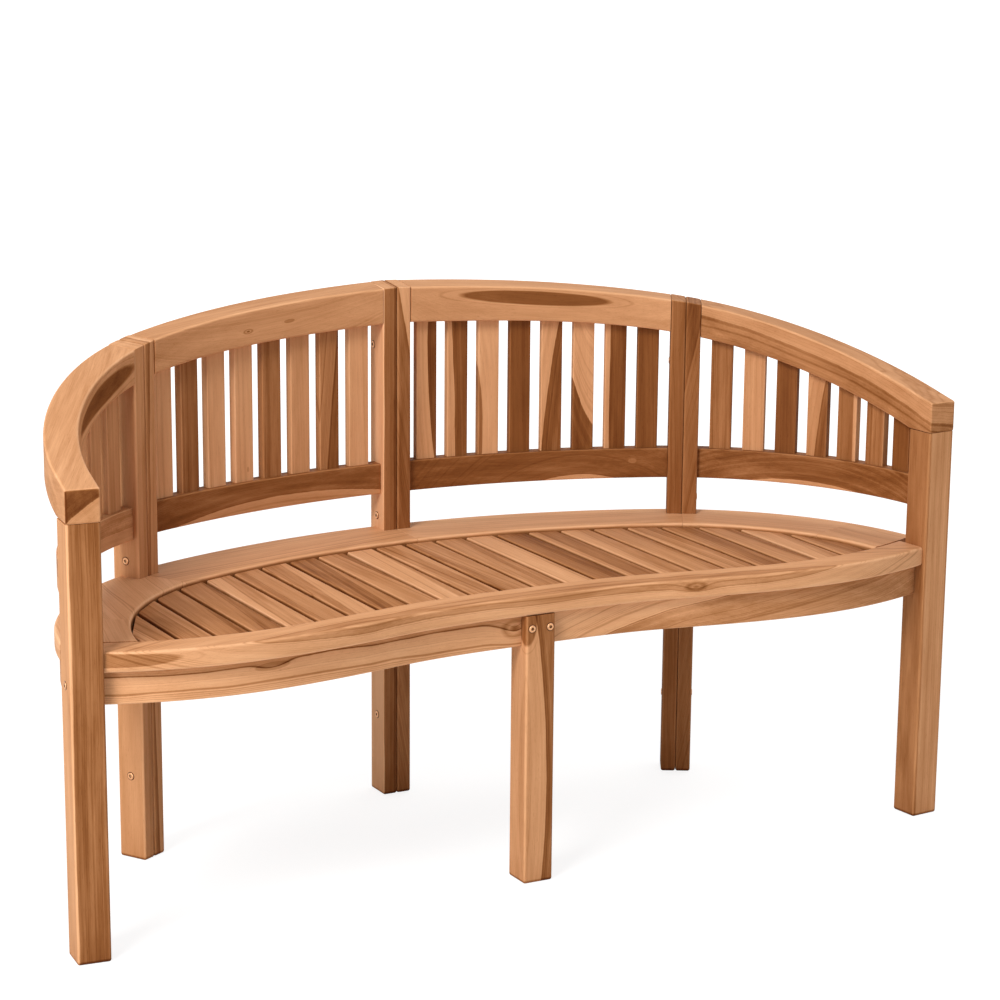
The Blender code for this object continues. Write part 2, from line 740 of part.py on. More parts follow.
def add_seat_boards(posts_cutter):
    """Frame of the seat: one front board, two back, two corner and two side boards."""
    gap = CLEARANCE / 2
    heights = (level(BOARD_UNDER), level(SEAT_TOP))
    groove = (
        level(TONGUE_MIDDLE - TONGUE_THICKNESS / 2 - CLEARANCE),
        level(TONGUE_MIDDLE + TONGUE_THICKNESS / 2 + CLEARANCE),
    )
    cut_depth = TONGUE + CLEARANCE
    right_end = inner_face(CLEARANCE)
    ends = (lambda depth: -right_end(depth), right_end)
    bm = bmesh.new()
    depths = (-OVERHANG, FRONT_BOARD - OVERHANG)
    add_block(bm, FRONT_SLICES, on_front(1, ends, depths, heights))
    front_board = finish_object(bm, "front_seat_board", PIECES, wood("front_seat_board"))
    round_arrises(front_board, BOARD_ARRIS, 2)
    corner = field_corner()
    ends = (lambda depth: -corner), (lambda depth: corner)
    bm = bmesh.new()
    depths = (FRONT_BOARD - OVERHANG - cut_depth, FRONT_BOARD - OVERHANG + OVERRUN)
    add_block(bm, FRONT_SLICES, on_front(1, ends, depths, groove))
    combine(front_board, finish_object(bm, "front_groove", CUTTERS), "DIFFERENCE")
    # Cutter that trims the side boards along the front board's inner edge
    ends = (lambda depth: -WIDTH / 2), (lambda depth: WIDTH / 2)
    bm = bmesh.new()
    depths = (-OVERHANG - OVERRUN, FRONT_BOARD - OVERHANG + CLEARANCE)
    tall = (level(BOARD_UNDER - OVERRUN), level(SEAT_TOP + OVERRUN))
    add_block(bm, FRONT_SLICES, on_front(1, ends, depths, tall))
    front_trim = finish_object(bm, "front_trim", CUTTERS)
    spans = (
        ("back", 0, S_CORNER),
        ("corner", S_CORNER, S_SIDE_JOINT),
        ("side", S_SIDE_JOINT, S_FRONT),
    )
    for (board, first, last), (label, side) in [(a, b) for a in spans for b in SIDES]:
        name = f"{label}_{board}_seat_board"
        stop = last if board == "side" else last - gap
        ends = (lambda out, s=first: s + gap), (lambda out, s=stop: s)
        outs = (board_inside, lambda s: SEAT_EDGE)
        bm = bmesh.new()
        add_block(bm, BOARD_SLICES, on_arch(side, ends, outs, heights), side < 0)
        piece = finish_object(bm, name, PIECES, wood(name))
        round_arrises(piece, BOARD_ARRIS, 2)
        ends = (lambda out, s=first: max(s - TONGUE, 0)), (lambda out, s=last: s + TONGUE)
        outs = (
            lambda s: board_inside(s) - OVERRUN,
            lambda s: board_inside(s) + cut_depth,
        )
        bm = bmesh.new()
        add_block(bm, BOARD_SLICES, on_arch(side, ends, outs, groove), side < 0)
        combine(piece, finish_object(bm, name + "_groove", CUTTERS), "DIFFERENCE")
        combine(piece, posts_cutter, "DIFFERENCE")
        if board == "side":
            combine(piece, front_trim, "DIFFERENCE")


def add_posts_cutter():
    """One cutter with the square section of each post that the seat boards pass."""
    heights = (level(BOARD_UNDER - OVERRUN), level(SEAT_TOP + OVERRUN))
    half = POST / 2 + CLEARANCE
    bm = bmesh.new()
    add_block(bm, 1, on_post(1, 0, (-half, half), (-half, half), heights))
    for _, side in SIDES:
        place = on_post(side, S_CORNER, (-half, half), (-half, half), heights)
        add_block(bm, 1, place, side < 0)
        place = on_post(side, S_FRONT, (-POST - CLEARANCE, OVERRUN), (-half, half), heights)
        add_block(bm, 1, place, side < 0)
    return finish_object(bm, "post_notches", CUTTERS)


def slat_outline(side, xs, grow, heights):
    """Placing function of a seat slat whose ends are moved grow metres into the boards."""

    def place(u, v, w):
        x = xs[0] + u * (xs[1] - xs[0])
        y_front = field_front(x, grow)
        y_back = field_back(x, grow)
        height = heights[0] if w < 0.5 else heights[1]
        return Vector((side * x, y_front + v * (y_back - y_front), height))

    return place


def add_seat_slats():
    """Seat slats from the middle outward, each with a tongue in the boards' grooves."""
    pitch = SEAT_SLAT_WIDTH + SEAT_SLAT_SPACE
    half = SEAT_SLAT_WIDTH / 2
    count = math.floor((field_corner() - CORNER_RELIEF - half) / pitch)
    places = [("centre_seat_slat", 1, 0)]
    for number in range(1, count + 1):
        places += [(f"{label}_seat_slat_{number:02d}", side, number * pitch) for label, side in SIDES]
    heights = (SLAT_UNDER, SLAT_TOP)
    tongue_heights = (TONGUE_MIDDLE - TONGUE_THICKNESS / 2, TONGUE_MIDDLE + TONGUE_THICKNESS / 2)
    for name, side, middle in places:
        body = slat_outline(side, (middle - half, middle + half), -SLAT_END_GAP, heights)
        bm = bmesh.new()
        add_block(bm, 2, body, side < 0)
        slat = finish_object(bm, name, PIECES, wood(name))
        round_arrises(slat, SLAT_ARRIS)
        reach = half - SLAT_ARRIS
        xs = (middle - reach, middle + reach)
        bm = bmesh.new()
        add_block(bm, 2, slat_outline(side, xs, TONGUE - SLAT_END_GAP, tongue_heights), side < 0)
        combine(slat, finish_object(bm, name + "_tongue", CUTTERS), "UNION")


def add_bearer(front_posts, halves):
    """Bearer from the front centre post to the back centre post, under the middle slats."""
    low_y = CENTRE_POST_BACK_Y + CLEARANCE
    high_y = BACK_FACE_Y - POST - CLEARANCE
    top = SLAT_UNDER - CLEARANCE
    bm = bmesh.new()
    add_block(bm, 1, box((-BEARER / 2, low_y, APRON_UNDER), (BEARER / 2, high_y, top)))
    bearer = finish_object(bm, "centre_bearer", PIECES, wood("centre_bearer"))
    round_arrises(bearer, THIN_ARRIS)
    for grow, role in ((0, "tenon"), (CLEARANCE, "mortise")):
        half = TENON_THICKNESS / 2 + grow
        low_z = APRON_UNDER + TENON_SHOULDER - grow
        high_z = top - TENON_SHOULDER + grow
        bm = bmesh.new()
        low = (-half, low_y - BEARER_TENON - grow, low_z)
        add_block(bm, 1, box(low, (half, low_y + TENON, high_z)))
        low = (-half, high_y - TENON, low_z)
        add_block(bm, 1, box(low, (half, high_y + TENON + grow, high_z)))
        block = finish_object(bm, f"centre_bearer_{role}", CUTTERS)
        if role == "tenon":
            combine(bearer, block, "UNION")
        else:
            combine(front_posts[0], block, "DIFFERENCE")
            combine(halves[(0, 1, -1)], block, "DIFFERENCE")
            combine(halves[(0, 1, 1)], block, "DIFFERENCE")


def add_bolts(front_posts, halves):
    """Bolts that draw the back centre post's halves together, and two in the front post."""
    centre_y = BACK_FACE_Y - POST / 2
    quarter_turn = math.pi / 2
    heights = (
        ("low", LOW_BOLT_Z, 0),
        ("middle", SEAT_TOP + MIDDLE_BOLT_RISE, 0),
        ("top", CREST_CENTRE - TOP_BOLT_DROP, POST / 4),
    )
    for label, height, back in heights:
        location = (-POST / 2, centre_y + back, height)
        rotation = (0, -quarter_turn, 0)
        add_bolt(f"back_centre_{label}_bolt", POST, location, rotation, True)
        bore = add_bore(f"back_centre_{label}_bore", POST + OVERRUN, location, rotation)
        combine(halves[(0, 1, -1)], bore, "DIFFERENCE")
        combine(halves[(0, 1, 1)], bore, "DIFFERENCE")
    for label, side in SIDES:
        front_y = CENTRE_POST_Y - POST / 2
        location = (side * CENTRE_BOLT_SIDE, front_y, BOARD_UNDER - SEAT_BOLT_DROP)
        rotation = (quarter_turn, 0, 0)
        length = POST - CENTRE_BOLT_WALL
        add_bolt(f"front_centre_{label}_bolt", length, location, rotation, False)
        bore = add_bore(f"front_centre_{label}_bore", length + CLEARANCE, location, rotation)
        combine(front_posts[0], bore, "DIFFERENCE")
        combine(FRONT_APRONS[side], bore, "DIFFERENCE")


for old in list(bpy.data.objects):
    bpy.data.objects.remove(old, do_unlink=True)

PIECES = bpy.data.collections.new("curved_garden_bench")
CUTTERS = bpy.data.collections.new("cutters")
bpy.context.scene.collection.children.link(PIECES)
bpy.context.scene.collection.children.link(CUTTERS)

BENCH = bpy.data.objects.new("bench_origin", None)
PIECES.objects.link(BENCH)
BENCH.location = (0, -(LOBE_FRONT_Y + BACK_FACE_Y) / 2, 0)

MORTISES = {}
ARM_SOCKETS = {}
FRONT_APRONS = {}

half_posts = add_half_posts()
single_posts = add_front_posts()
add_panels()
add_aprons(single_posts)
for (s_of_post, which_side, inward_direction), cutters in MORTISES.items():
    for cutter in cutters:
        if s_of_post == S_FRONT:
            combine(single_posts[which_side], cutter, "DIFFERENCE")
        elif s_of_post == 0:
            combine(half_posts[(0, 1, which_side)], cutter, "DIFFERENCE")
        else:
            combine(half_posts[(s_of_post, which_side, inward_direction)], cutter, "DIFFERENCE")
add_seat_boards(add_posts_cutter())
add_seat_slats()
add_bearer(single_posts, half_posts)
add_bolts(single_posts, half_posts)
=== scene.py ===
"""Curved garden bench in solid teak: its looks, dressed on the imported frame.

Plan places are given by s, the distance along the arch of back and arms, which is negative
on the left, and by out, the distance outside the arch's centreline.
"""

import math

import bpy
import numpy as np
from mathutils import Matrix, Vector


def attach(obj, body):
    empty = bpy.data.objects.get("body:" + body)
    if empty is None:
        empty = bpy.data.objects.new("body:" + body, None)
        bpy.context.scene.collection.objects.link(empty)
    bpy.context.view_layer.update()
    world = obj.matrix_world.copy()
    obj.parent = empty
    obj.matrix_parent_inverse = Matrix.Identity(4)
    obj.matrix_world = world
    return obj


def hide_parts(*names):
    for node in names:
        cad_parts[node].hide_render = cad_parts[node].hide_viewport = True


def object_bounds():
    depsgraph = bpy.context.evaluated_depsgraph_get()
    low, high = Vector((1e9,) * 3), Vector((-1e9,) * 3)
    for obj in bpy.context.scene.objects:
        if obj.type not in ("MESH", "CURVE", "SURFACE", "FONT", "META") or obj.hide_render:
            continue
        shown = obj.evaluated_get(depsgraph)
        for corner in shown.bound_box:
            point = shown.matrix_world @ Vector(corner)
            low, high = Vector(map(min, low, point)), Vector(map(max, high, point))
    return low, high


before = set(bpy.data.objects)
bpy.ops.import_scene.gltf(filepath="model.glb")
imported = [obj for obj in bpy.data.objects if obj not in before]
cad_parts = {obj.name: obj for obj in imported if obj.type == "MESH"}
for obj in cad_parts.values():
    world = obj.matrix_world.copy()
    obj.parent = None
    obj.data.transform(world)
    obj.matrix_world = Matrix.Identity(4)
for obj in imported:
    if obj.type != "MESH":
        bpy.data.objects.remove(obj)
cad_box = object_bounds()


# Back centre post: two half posts of teak, 25 by 50 mm, bolted together face to face.
# They end flush with the top rails beside them, and their arrises are lightly rounded.

WIDTH = 1.500
POST = 0.050
POST_ARRIS = 0.0040
TOP_ARRIS = 0.0016
# The posts are darker at their feet up to this height.
FOOT_DARK_HEIGHT = 0.0065
# How far the painted shade in the seat's gaps, and the posts' darker feet, take to come in full.
GAP_FADE = 0.004
LEAST_FACING, FACING_GAIN = 0.2, 3
JOINT_GAP = 0.0003
ARM_RADIUS = 0.461
BLEND_ANGLE = math.radians(22.3)
CORNER_ANGLE = math.radians(30.0)
ARM_END_ANGLE = math.radians(84.5)
CREST_CENTRE, CREST_CORNER, CREST_FRONT = 0.860, 0.8165, 0.691
CREST_SLOPES = (-0.036, -0.16, -0.25)
TOP_TILT = 0.006
ARCH_STEP = 1e-5

corner_x = (
    WIDTH / 2 - (ARM_RADIUS + POST / 2) * math.sin(ARM_END_ANGLE) - POST * math.cos(ARM_END_ANGLE)
)
back_radius = corner_x / math.sin(BLEND_ANGLE) + ARM_RADIUS
s_blend = back_radius * BLEND_ANGLE
s_corner = s_blend + ARM_RADIUS * (CORNER_ANGLE - BLEND_ANGLE)
s_arm_end = s_blend + ARM_RADIUS * (ARM_END_ANGLE - BLEND_ANGLE)
s_front = s_arm_end + POST
back_y = (cad_box[1].y - POST / 2) - back_radius
corner_y = back_y - (ARM_RADIUS - back_radius) * math.cos(BLEND_ANGLE)
front_y = corner_y + ARM_RADIUS * math.cos(ARM_END_ANGLE) - POST * math.sin(ARM_END_ANGLE)


def arch(s, out):
    """Plan point: a wide back arc, a tight corner arc, then straight over the front post."""
    side, s = np.where(s < 0, -1.0, 1.0), np.abs(s)
    wide = s < s_blend
    angle = np.where(
        wide, s / back_radius, BLEND_ANGLE + (np.minimum(s, s_arm_end) - s_blend) / ARM_RADIUS
    )
    radius = np.where(wide, back_radius, ARM_RADIUS) + out
    straight = np.maximum(s - s_arm_end, 0)
    x = np.where(wide, 0, corner_x) + radius * np.sin(angle) + straight * np.cos(angle)
    y = np.where(wide, back_y, corner_y) + radius * np.cos(angle) - straight * np.sin(angle)
    return side * x, y


def arch_axes(s):
    """Centreline point at s, with the unit vectors along the arch and outward."""
    point = np.array(arch(s, 0.0))
    along = np.array(arch(s + ARCH_STEP, 0.0)) - np.array(arch(s - ARCH_STEP, 0.0))
    along /= np.linalg.norm(along)
    return point, along, np.array([-along[1], along[0]])


def hermite(value, start, end, heights, slopes):
    """Cubic from heights[0] at start to heights[1] at end, with the slopes given there."""
    length = end - start
    t = (value - start) / length
    return (
        heights[0] * (2 * t**3 - 3 * t**2 + 1)
        + slopes[0] * length * (t**3 - 2 * t**2 + t)
        + heights[1] * (3 * t**2 - 2 * t**3)
        + slopes[1] * length * (t**3 - t**2)
    )


def crest(s, out):
    """Height of the top rail's upper surface: two cubics, tilted inward toward the back centre."""
    s = np.abs(s)
    back = hermite(s, 0, s_corner, (CREST_CENTRE, CREST_CORNER), CREST_SLOPES[:2])
    arm = hermite(s, s_corner, s_front, (CREST_CORNER, CREST_FRONT), CREST_SLOPES[1:])
    tilt = TOP_TILT * (1 - s / s_front) * (POST / 2 - out) / POST
    return np.where(s < s_corner, back, arm) - tilt


def rounded_bar(size, arris, end_arrises, place, stations):
    """Grid of a bar with rounded arrises: rings of a rounded rectangle carried from end to end.

    Each ring has quarter circles at its corners, and near an end it is drawn in along a
    quarter circle of that end's own arris.  place(a, b, c) puts the points, given as
    distances from the bar's middle along it, across it and through it, into the world.
    """
    length, width, height = size
    lead = min(arris, min(width, height) / 2 - arris) / 2
    turn = np.radians([0, 0, 18, 36, 54, 72, 90, 90])
    slide = np.array([-lead, 0, 0, 0, 0, 0, 0, lead])
    angles = turn + np.arange(4)[:, None] * math.pi / 2
    corner_b = np.array([[1], [-1], [-1], [1]]) * (width / 2 - arris)
    corner_c = np.array([[1], [1], [-1], [-1]]) * (height / 2 - arris)
    corner_b = (corner_b - np.sin(angles) * slide).ravel()
    corner_c = (corner_c + np.cos(angles) * slide).ravel()
    rise = np.radians([10, 30, 50, 70, 90])
    drawn_in, from_end = 1 - np.sin(rise), 1 - np.cos(rise)
    first, last = end_arrises
    inner = np.linspace(first * 1.5, length - last * 1.5, stations)
    starts, stops = first * from_end, length - last * from_end[::-1]
    along = np.concatenate([[0], starts, inner, stops, [length]]) - length / 2
    inset = np.concatenate([[0], first * drawn_in, np.zeros(stations), last * drawn_in[::-1], [0]])
    radius = (arris - inset)[:, None]
    b = corner_b + radius * np.cos(angles).ravel()
    c = corner_c + radius * np.sin(angles).ravel()
    for end, beside in ((0, 1), (-1, -2)):
        for rings in (b, c):
            rings[end] = rings[beside] - np.sign(rings[beside]) * lead
    a = np.repeat(along[:, None], b.shape[1], axis=1)
    return np.stack(np.broadcast_arrays(*place(a, b, c)), axis=-1)


def closed_mesh(name, grid):
    """Mesh of a grid of rings: a quad between neighbours, and a flat face over each end ring."""
    rings, count = grid.shape[:2]
    index = np.arange(rings * count).reshape(rings, count)
    here, right = index[:-1], np.roll(index, -1, axis=1)[:-1]
    above, above_right = index[1:], np.roll(index, -1, axis=1)[1:]
    quads = np.stack([here, right, above_right, above], axis=-1).reshape(-1, 4)
    faces = quads.tolist() + [index[0, ::-1].tolist(), index[-1].tolist()]
    mesh = bpy.data.meshes.new(name)
    mesh.from_pydata(grid.reshape(-1, 3).tolist(), [], faces)
    mesh.shade_smooth()
    mesh.update()
    return mesh


def feed(node, inputs):
    """Sets a node's inputs to values, or links them to other nodes' outputs."""
    for socket, value in inputs.items():
        if isinstance(value, bpy.types.NodeSocket):
            node.id_data.links.new(value, node.inputs[socket])
        else:
            node.inputs[socket].default_value = value


def add(tree, kind, inputs=None, **settings):
    """Adds a shader node to a tree, with its settings and inputs."""
    node = tree.nodes.new("ShaderNode" + kind)
    for setting, value in settings.items():
        setattr(node, setting, value)
    feed(node, inputs or {})
    return node


def colour_ramp(tree, value, stops):
    """Colour of a value, by stops that each hold a position and its red, green and blue."""
    node = add(tree, "ValToRGB", {0: value})
    elements = node.color_ramp.elements
    while len(elements) < len(stops):
        elements.new(0.5)
    for element, (position, *colour) in zip(elements, stops):
        element.position = position
        element.color = (*colour, 1.0)
    return node.outputs["Color"]


plain_figure = dict(
    grain=(0.0, 0.0, 0.0), start=-0.06, slope=(0.02, 1.0, 0.0), curve=(0.0, 0.0, 4.0),
    depth=0.0, rim=0.07, patch=(10.0, 0.0, 0.0), patch_radii=(1.0, 1.0, 1.0),
    patch_depth=0.0, patch_bend=0.0, knot=(10.0, 0.0, 0.0), knot_radii=(0.01, 0.01, 0.01),
    tone=0.42, rings=0.8, streaks=0.07, sway=0.007, seed=0.0, gap=0.0,
    end=0.0, end_depth=0.0, end_tone=0.18, edge=0.0, painted_arris_highlight=-0.60,
)
HEART_EDGE = 0.0012
MOTTLE_SHIFT, FIBRE_SHIFT = 0.003, 0.002
KNOT_BEND = 0.012
NOISE_MEAN = 0.5
END_POWER = 4.0


def figure_group():
    """Solid figure of teak, worked out in a frame whose x runs along the grain, in metres.

    A quadratic field, start + slope . p + curve . p squared, stands for the distance across
    the growth: its value reads one-dimensional noise for rings and streaks, and heartwood
    lies where it is above zero, with a rim along its edge.  A second, ellipsoidal patch may
    be darker or lighter, the growth swerves round a knot with a dark core and rim, and pores
    and fibres are noise stretched along the grain.  end is how far a face lies square to the
    grain, and has a tone of its own.  edge is 0 or 1 on the faces, and the arrises between
    them are paler, a painted highlight.  The gap input is how deep in a gap the wood lies,
    and darkens it there as painted shade; on the posts it darkens their feet.
    """
    group = bpy.data.node_groups.new("teak_figure", "ShaderNodeTree")
    for name, value in plain_figure.items():
        kind = "NodeSocketVector" if isinstance(value, tuple) else "NodeSocketFloat"
        group.interface.new_socket(name=name, in_out="INPUT", socket_type=kind)
    for name, kind in (("Color", "Color"), ("Roughness", "Float"), ("Height", "Float")):
        group.interface.new_socket(name=name, in_out="OUTPUT", socket_type="NodeSocket" + kind)
    given = group.nodes.new("NodeGroupInput").outputs

    def vector(operation, *inputs):
        node = add(group, "VectorMath", dict(enumerate(inputs)), operation=operation)
        return node.outputs["Value" if operation in ("LENGTH", "DOT_PRODUCT") else "Vector"]

    def number(operation, *inputs):
        return add(group, "Math", dict(enumerate(inputs)), operation=operation).outputs[0]

    def plus(value, amount, strength):
        return number("MULTIPLY_ADD", amount, strength, value)

    def varied(value, amount, strength):
        return plus(value, number("SUBTRACT", amount, NOISE_MEAN), strength)

    def clamped(value):
        return number("MINIMUM", number("MAXIMUM", value, 0.0), 1.0)

    def near(value, centre, reach):
        """1 at centre, falling to 0 at reach from it."""
        apart = number("ABSOLUTE", number("SUBTRACT", value, centre))
        return number("MAXIMUM", plus(1.0, apart, -1 / reach), 0.0)

    def noise(place, scale, detail, roughness=0.5, distortion=0.0):
        """Noise with so many waves a metre, of a place when scale is a tuple, or of a number."""
        inputs = dict(Scale=1.0, Detail=detail, Roughness=roughness, Distortion=distortion)
        solid = isinstance(scale, tuple)
        if solid:
            inputs.update(Vector=vector("MULTIPLY", place, scale), W=given["seed"])
        else:
            inputs.update(W=plus(given["seed"], place, scale))
        return add(group, "TexNoise", inputs, noise_dimensions="4D" if solid else "1D").outputs

    def radii_from(place, centre):
        """Distance from the middle of an ellipsoid, counted in its radii."""
        offset = vector("SUBTRACT", place, given[centre])
        return vector("LENGTH", vector("DIVIDE", offset, given[centre + "_radii"]))

    def swerved(field, distance, fall, bend):
        """The field with growth lines that swerve by bend where the distance is 0."""
        beside = number("MAXIMUM", plus(1.0, distance, -fall), 0.0)
        return plus(field, number("MULTIPLY", beside, beside), bend)

    grain = given["grain"]
    wander = vector("SUBTRACT", noise(grain, (3.5, 17.0, 17.0), 2.0)["Color"], (NOISE_MEAN,) * 3)
    wander = add(group, "VectorMath", {0: wander, "Scale": given["sway"]}, operation="SCALE")
    swayed = vector("ADD", grain, vector("MULTIPLY", wander.outputs[0], (0.0, 1.0, 1.0)))
    # The scales count waves along, across and through the grain.
    mottle = noise(grain, (6.0, 55.0, 55.0), 3.0, 0.55, 0.3)[0]
    fibre = noise(grain, (18.0, 700.0, 700.0), 2.0, 0.6)[0]
    pores = noise(grain, (110.0, 1900.0, 1900.0), 1.0)[0]

    field = number("ADD", vector("DOT_PRODUCT", swayed, given["slope"]), given["start"])
    squares = vector("MULTIPLY", swayed, swayed)
    field = number("ADD", field, vector("DOT_PRODUCT", squares, given["curve"]))
    from_patch = radii_from(swayed, "patch")
    field = swerved(field, from_patch, 0.5, given["patch_bend"])
    from_knot = varied(radii_from(grain, "knot"), mottle, 0.9)
    field = varied(swerved(field, from_knot, 0.28, KNOT_BEND), mottle, MOTTLE_SHIFT)

    bands = noise(field, 130.0, 3.0, 0.6)[0]
    lines = noise(field, 800.0, 2.0, 0.6)[0]
    streak = near(noise(field, 95.0, 1.0)[0], NOISE_MEAN, 0.022)
    streaks = plus(given["streaks"], given["end"], 0.10)
    heart = clamped(number("DIVIDE", varied(field, fibre, FIBRE_SHIFT), HEART_EDGE))
    heart_depth = plus(given["depth"], given["end"], given["end_depth"])
    patch = clamped(number("MULTIPLY", number("SUBTRACT", 1.0, from_patch), 9.0))
    patch = plus(patch, near(from_patch, 1.22, 0.05), 0.25)
    rings = number("MULTIPLY", number("SUBTRACT", bands, NOISE_MEAN), 0.24)
    rings = number("MULTIPLY", varied(rings, lines, 0.09), given["rings"])
    grainy = varied(varied(rings, mottle, 0.34), fibre, 0.15)
    dark_pore = number("MAXIMUM", number("SUBTRACT", pores, 0.62), 0.0)
    # A painted highlight: edge squared times one minus it is highest on the arrises between faces,
    # which turn paler.
    edge = number("MULTIPLY", given["edge"], given["edge"])
    edge = number("MULTIPLY", edge, number("SUBTRACT", 1.0, edge))

    value = given["tone"]
    for amount, strength in (
        (heart, heart_depth),
        (patch, given["patch_depth"]),
        (near(field, HEART_EDGE, HEART_EDGE), given["rim"]),
        (near(from_knot, 1.0, 0.45), 0.24),
        (clamped(plus(1.4, from_knot, -2.5)), 0.4),
        (streak, streaks),
        (grainy, plus(0.9, heart, 0.6)),
        (dark_pore, 0.9),
        (given["end"], given["end_tone"]),
        # painted highlight on the arrises
        (edge, given["painted_arris_highlight"]),
        # painted shade in the seat's gaps, and the posts' darker feet
        (given["gap"], 0.42),
    ):
        value = plus(value, amount, strength)

    stops = (
        (0.00, 0.870, 0.500, 0.275),
        (0.25, 0.680, 0.342, 0.165),
        (0.50, 0.440, 0.190, 0.074),
        (0.75, 0.245, 0.085, 0.023),
        (1.00, 0.115, 0.028, 0.004),
    )
    feed(group.nodes.new("NodeGroupOutput"), {
        "Color": colour_ramp(group, value, stops),
        "Roughness": plus(0.48, fibre, 0.16),
        "Height": plus(number("MULTIPLY", fibre, 0.5), dark_pore, -2.2),
    })
    return group


teak_figure = figure_group()
draw = np.random.default_rng(1382)


def beyond(line, lean=0.0, bow=0.0, side=1, through=0.0, depth=0.34):
    """Heartwood on one side of a line across the plank's face, at line + lean x + bow x squared.

    side is 1 where the heart lies further across, and through tips the boundary inward.
    """
    slope, curve = (-side * lean, side, through), (-side * bow, 0.0, 0.0)
    return dict(start=-side * line, slope=slope, curve=curve, depth=depth)


def above(line, lean=0.0, bow=0.0, side=1, across=0.0, depth=0.34):
    """The same for a line up the plank's third direction instead of across it."""
    return {**beyond(line, lean, bow, side, 0.0, depth), "slope": (-side * lean, across, side)}


def patch(place, radii, depth=0.34, bend=0.0):
    """An ellipsoid of darker wood, or of lighter wood when depth is negative; on the front centre
    post a dark one is painted shade.

    The growth lines swerve by bend round it.
    """
    return dict(patch=place, patch_radii=radii, patch_depth=depth, patch_bend=bend)


def knot(place, radii):
    """One knot, an ellipsoid that is dark in its middle and along its rim."""
    return dict(knot=place, knot_radii=radii)


def new_material(name):
    """A material with its node tree and the tree's shader."""
    material = bpy.data.materials.new(name)
    material.use_nodes = True
    return material, material.node_tree, material.node_tree.nodes["Principled BSDF"]


def teak(name, middle, axes, slant=0.0, **figure):
    """Teak for one plank: the solid figure, placed on the plank's own grain.

    axes are its unit vectors along the grain, across it and through it.  slant tips the
    grain across the plank, and figure holds inputs of the group that aren't plain.
    """
    along, across, through = (np.array(axis, float) for axis in axes)
    grain = along + slant * across
    grain /= np.linalg.norm(grain)
    across = across - across.dot(grain) * grain
    across /= np.linalg.norm(across)
    turned = Matrix([list(grain), list(across), list(np.cross(grain, across))]).transposed()
    material, tree, shader = new_material(name + "_teak")
    place = add(tree, "TexCoord").outputs
    drawn = dict(
        curve=(0.0, 6 * draw.uniform(-0.5, 0.5), 4.0), slope=(0.02, 1.0, draw.uniform(0.4, 0.9)),
        seed=draw.uniform(0, 100),
    )
    mapping = add(tree, "Mapping", {
        "Location": [float(value) for value in middle], "Rotation": turned.to_euler(),
        "Vector": place["Object"],
    }, vector_type="TEXTURE")
    # edge is how far the normal lies along the plank's third direction, which finds the arrises
    # for their painted highlight.
    end, edge = (
        add(tree, "VectorMath", {0: place["Normal"], 1: list(axis)}, operation="DOT_PRODUCT")
        for axis in (grain, through)
    )
    end = add(tree, "Math", {0: end.outputs["Value"], 1: END_POWER}, operation="POWER")
    # The gap attribute holds painted shade in the seat's gaps and the posts' darker feet.
    gap = add(tree, "Attribute", attribute_name="gap")
    figured = add(tree, "Group", {
        **plain_figure, **drawn, **figure, "grain": mapping.outputs["Vector"],
        "end": end.outputs[0], "edge": edge.outputs["Value"], "gap": gap.outputs["Fac"],
    }, node_tree=teak_figure).outputs
    bump = add(tree, "Bump", {"Strength": 0.4, "Distance": 0.0004, "Height": figured["Height"]})
    feed(shader, {
        "Base Color": figured["Color"], "Roughness": figured["Roughness"],
        "Specular IOR Level": 0.08, "Normal": bump.outputs["Normal"],
    })
    return material


def placed(name, data):
    """A new object in the scene."""
    thing = bpy.data.objects.new(name, data)
    bpy.context.scene.collection.objects.link(thing)
    return thing


def wooden(name, grid, node, material):
    """A finished plank that stands for the frame's node."""
    piece = placed(name, closed_mesh(name, grid))
    piece.data.materials.append(material)
    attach(piece, "root")
    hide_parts(node)
    return piece


def paint_gap_shade_and_dark_feet(piece, below, toward=None):
    """Stores how far each point lies under the height below: 0 above it, 1 from 4 mm under it.

    On seat boards and slats this is painted shade in the gaps between them, and on posts it
    darkens their feet.  Given toward, a point in plan, only surfaces that face it count.
    """
    count = len(piece.data.vertices)
    places, normals = np.empty(3 * count), np.empty(3 * count)
    piece.data.vertices.foreach_get("co", places)
    piece.data.vertices.foreach_get("normal", normals)
    places, normals = places.reshape(-1, 3), normals.reshape(-1, 3)
    depth = np.clip((below - places[:, 2]) / GAP_FADE, 0, 1)
    if toward is not None:
        inward = np.array(toward) - places[:, :2]
        inward /= np.linalg.norm(inward, axis=1, keepdims=True)
        facing = (normals[:, :2] * inward).sum(axis=1)
        depth *= np.clip((facing - LEAST_FACING) * FACING_GAIN, 0, 1)
    piece.data.attributes.new("gap", "FLOAT", "POINT").data.foreach_set("value", depth)


def squared(s_post, distance, out):
    """Plan point found from s_post by straight distances along the arch there and outward."""
    point, along, outward = arch_axes(s_post)
    return (point[axis] + distance * along[axis] + out * outward[axis] for axis in (0, 1))


def post_grid(s_post, alongs, top, top_arris):
    """Upright bar squared to the arch at s_post, from the floor to the height top(s, out)."""
    height = float(top(s_post, 0.0))

    def place(a, b, c):
        distance = b + sum(alongs) / 2
        return *squared(s_post, distance, c), (a / height + 0.5) * top(s_post + distance, c)

    size = (height, alongs[1] - alongs[0], POST)
    return rounded_bar(size, POST_ARRIS, (POST_ARRIS, top_arris), place, stations=16)


def post_teak(name, s_post, offset, height, **figure):
    """Teak with its grain upright, in a post's own directions: along the arch and outward."""
    point, along, outward = arch_axes(s_post)
    middle = (*(point + offset * along), height)
    return teak(name, middle, ((0, 0, 1), (*along, 0), (*outward, 0)), **figure)


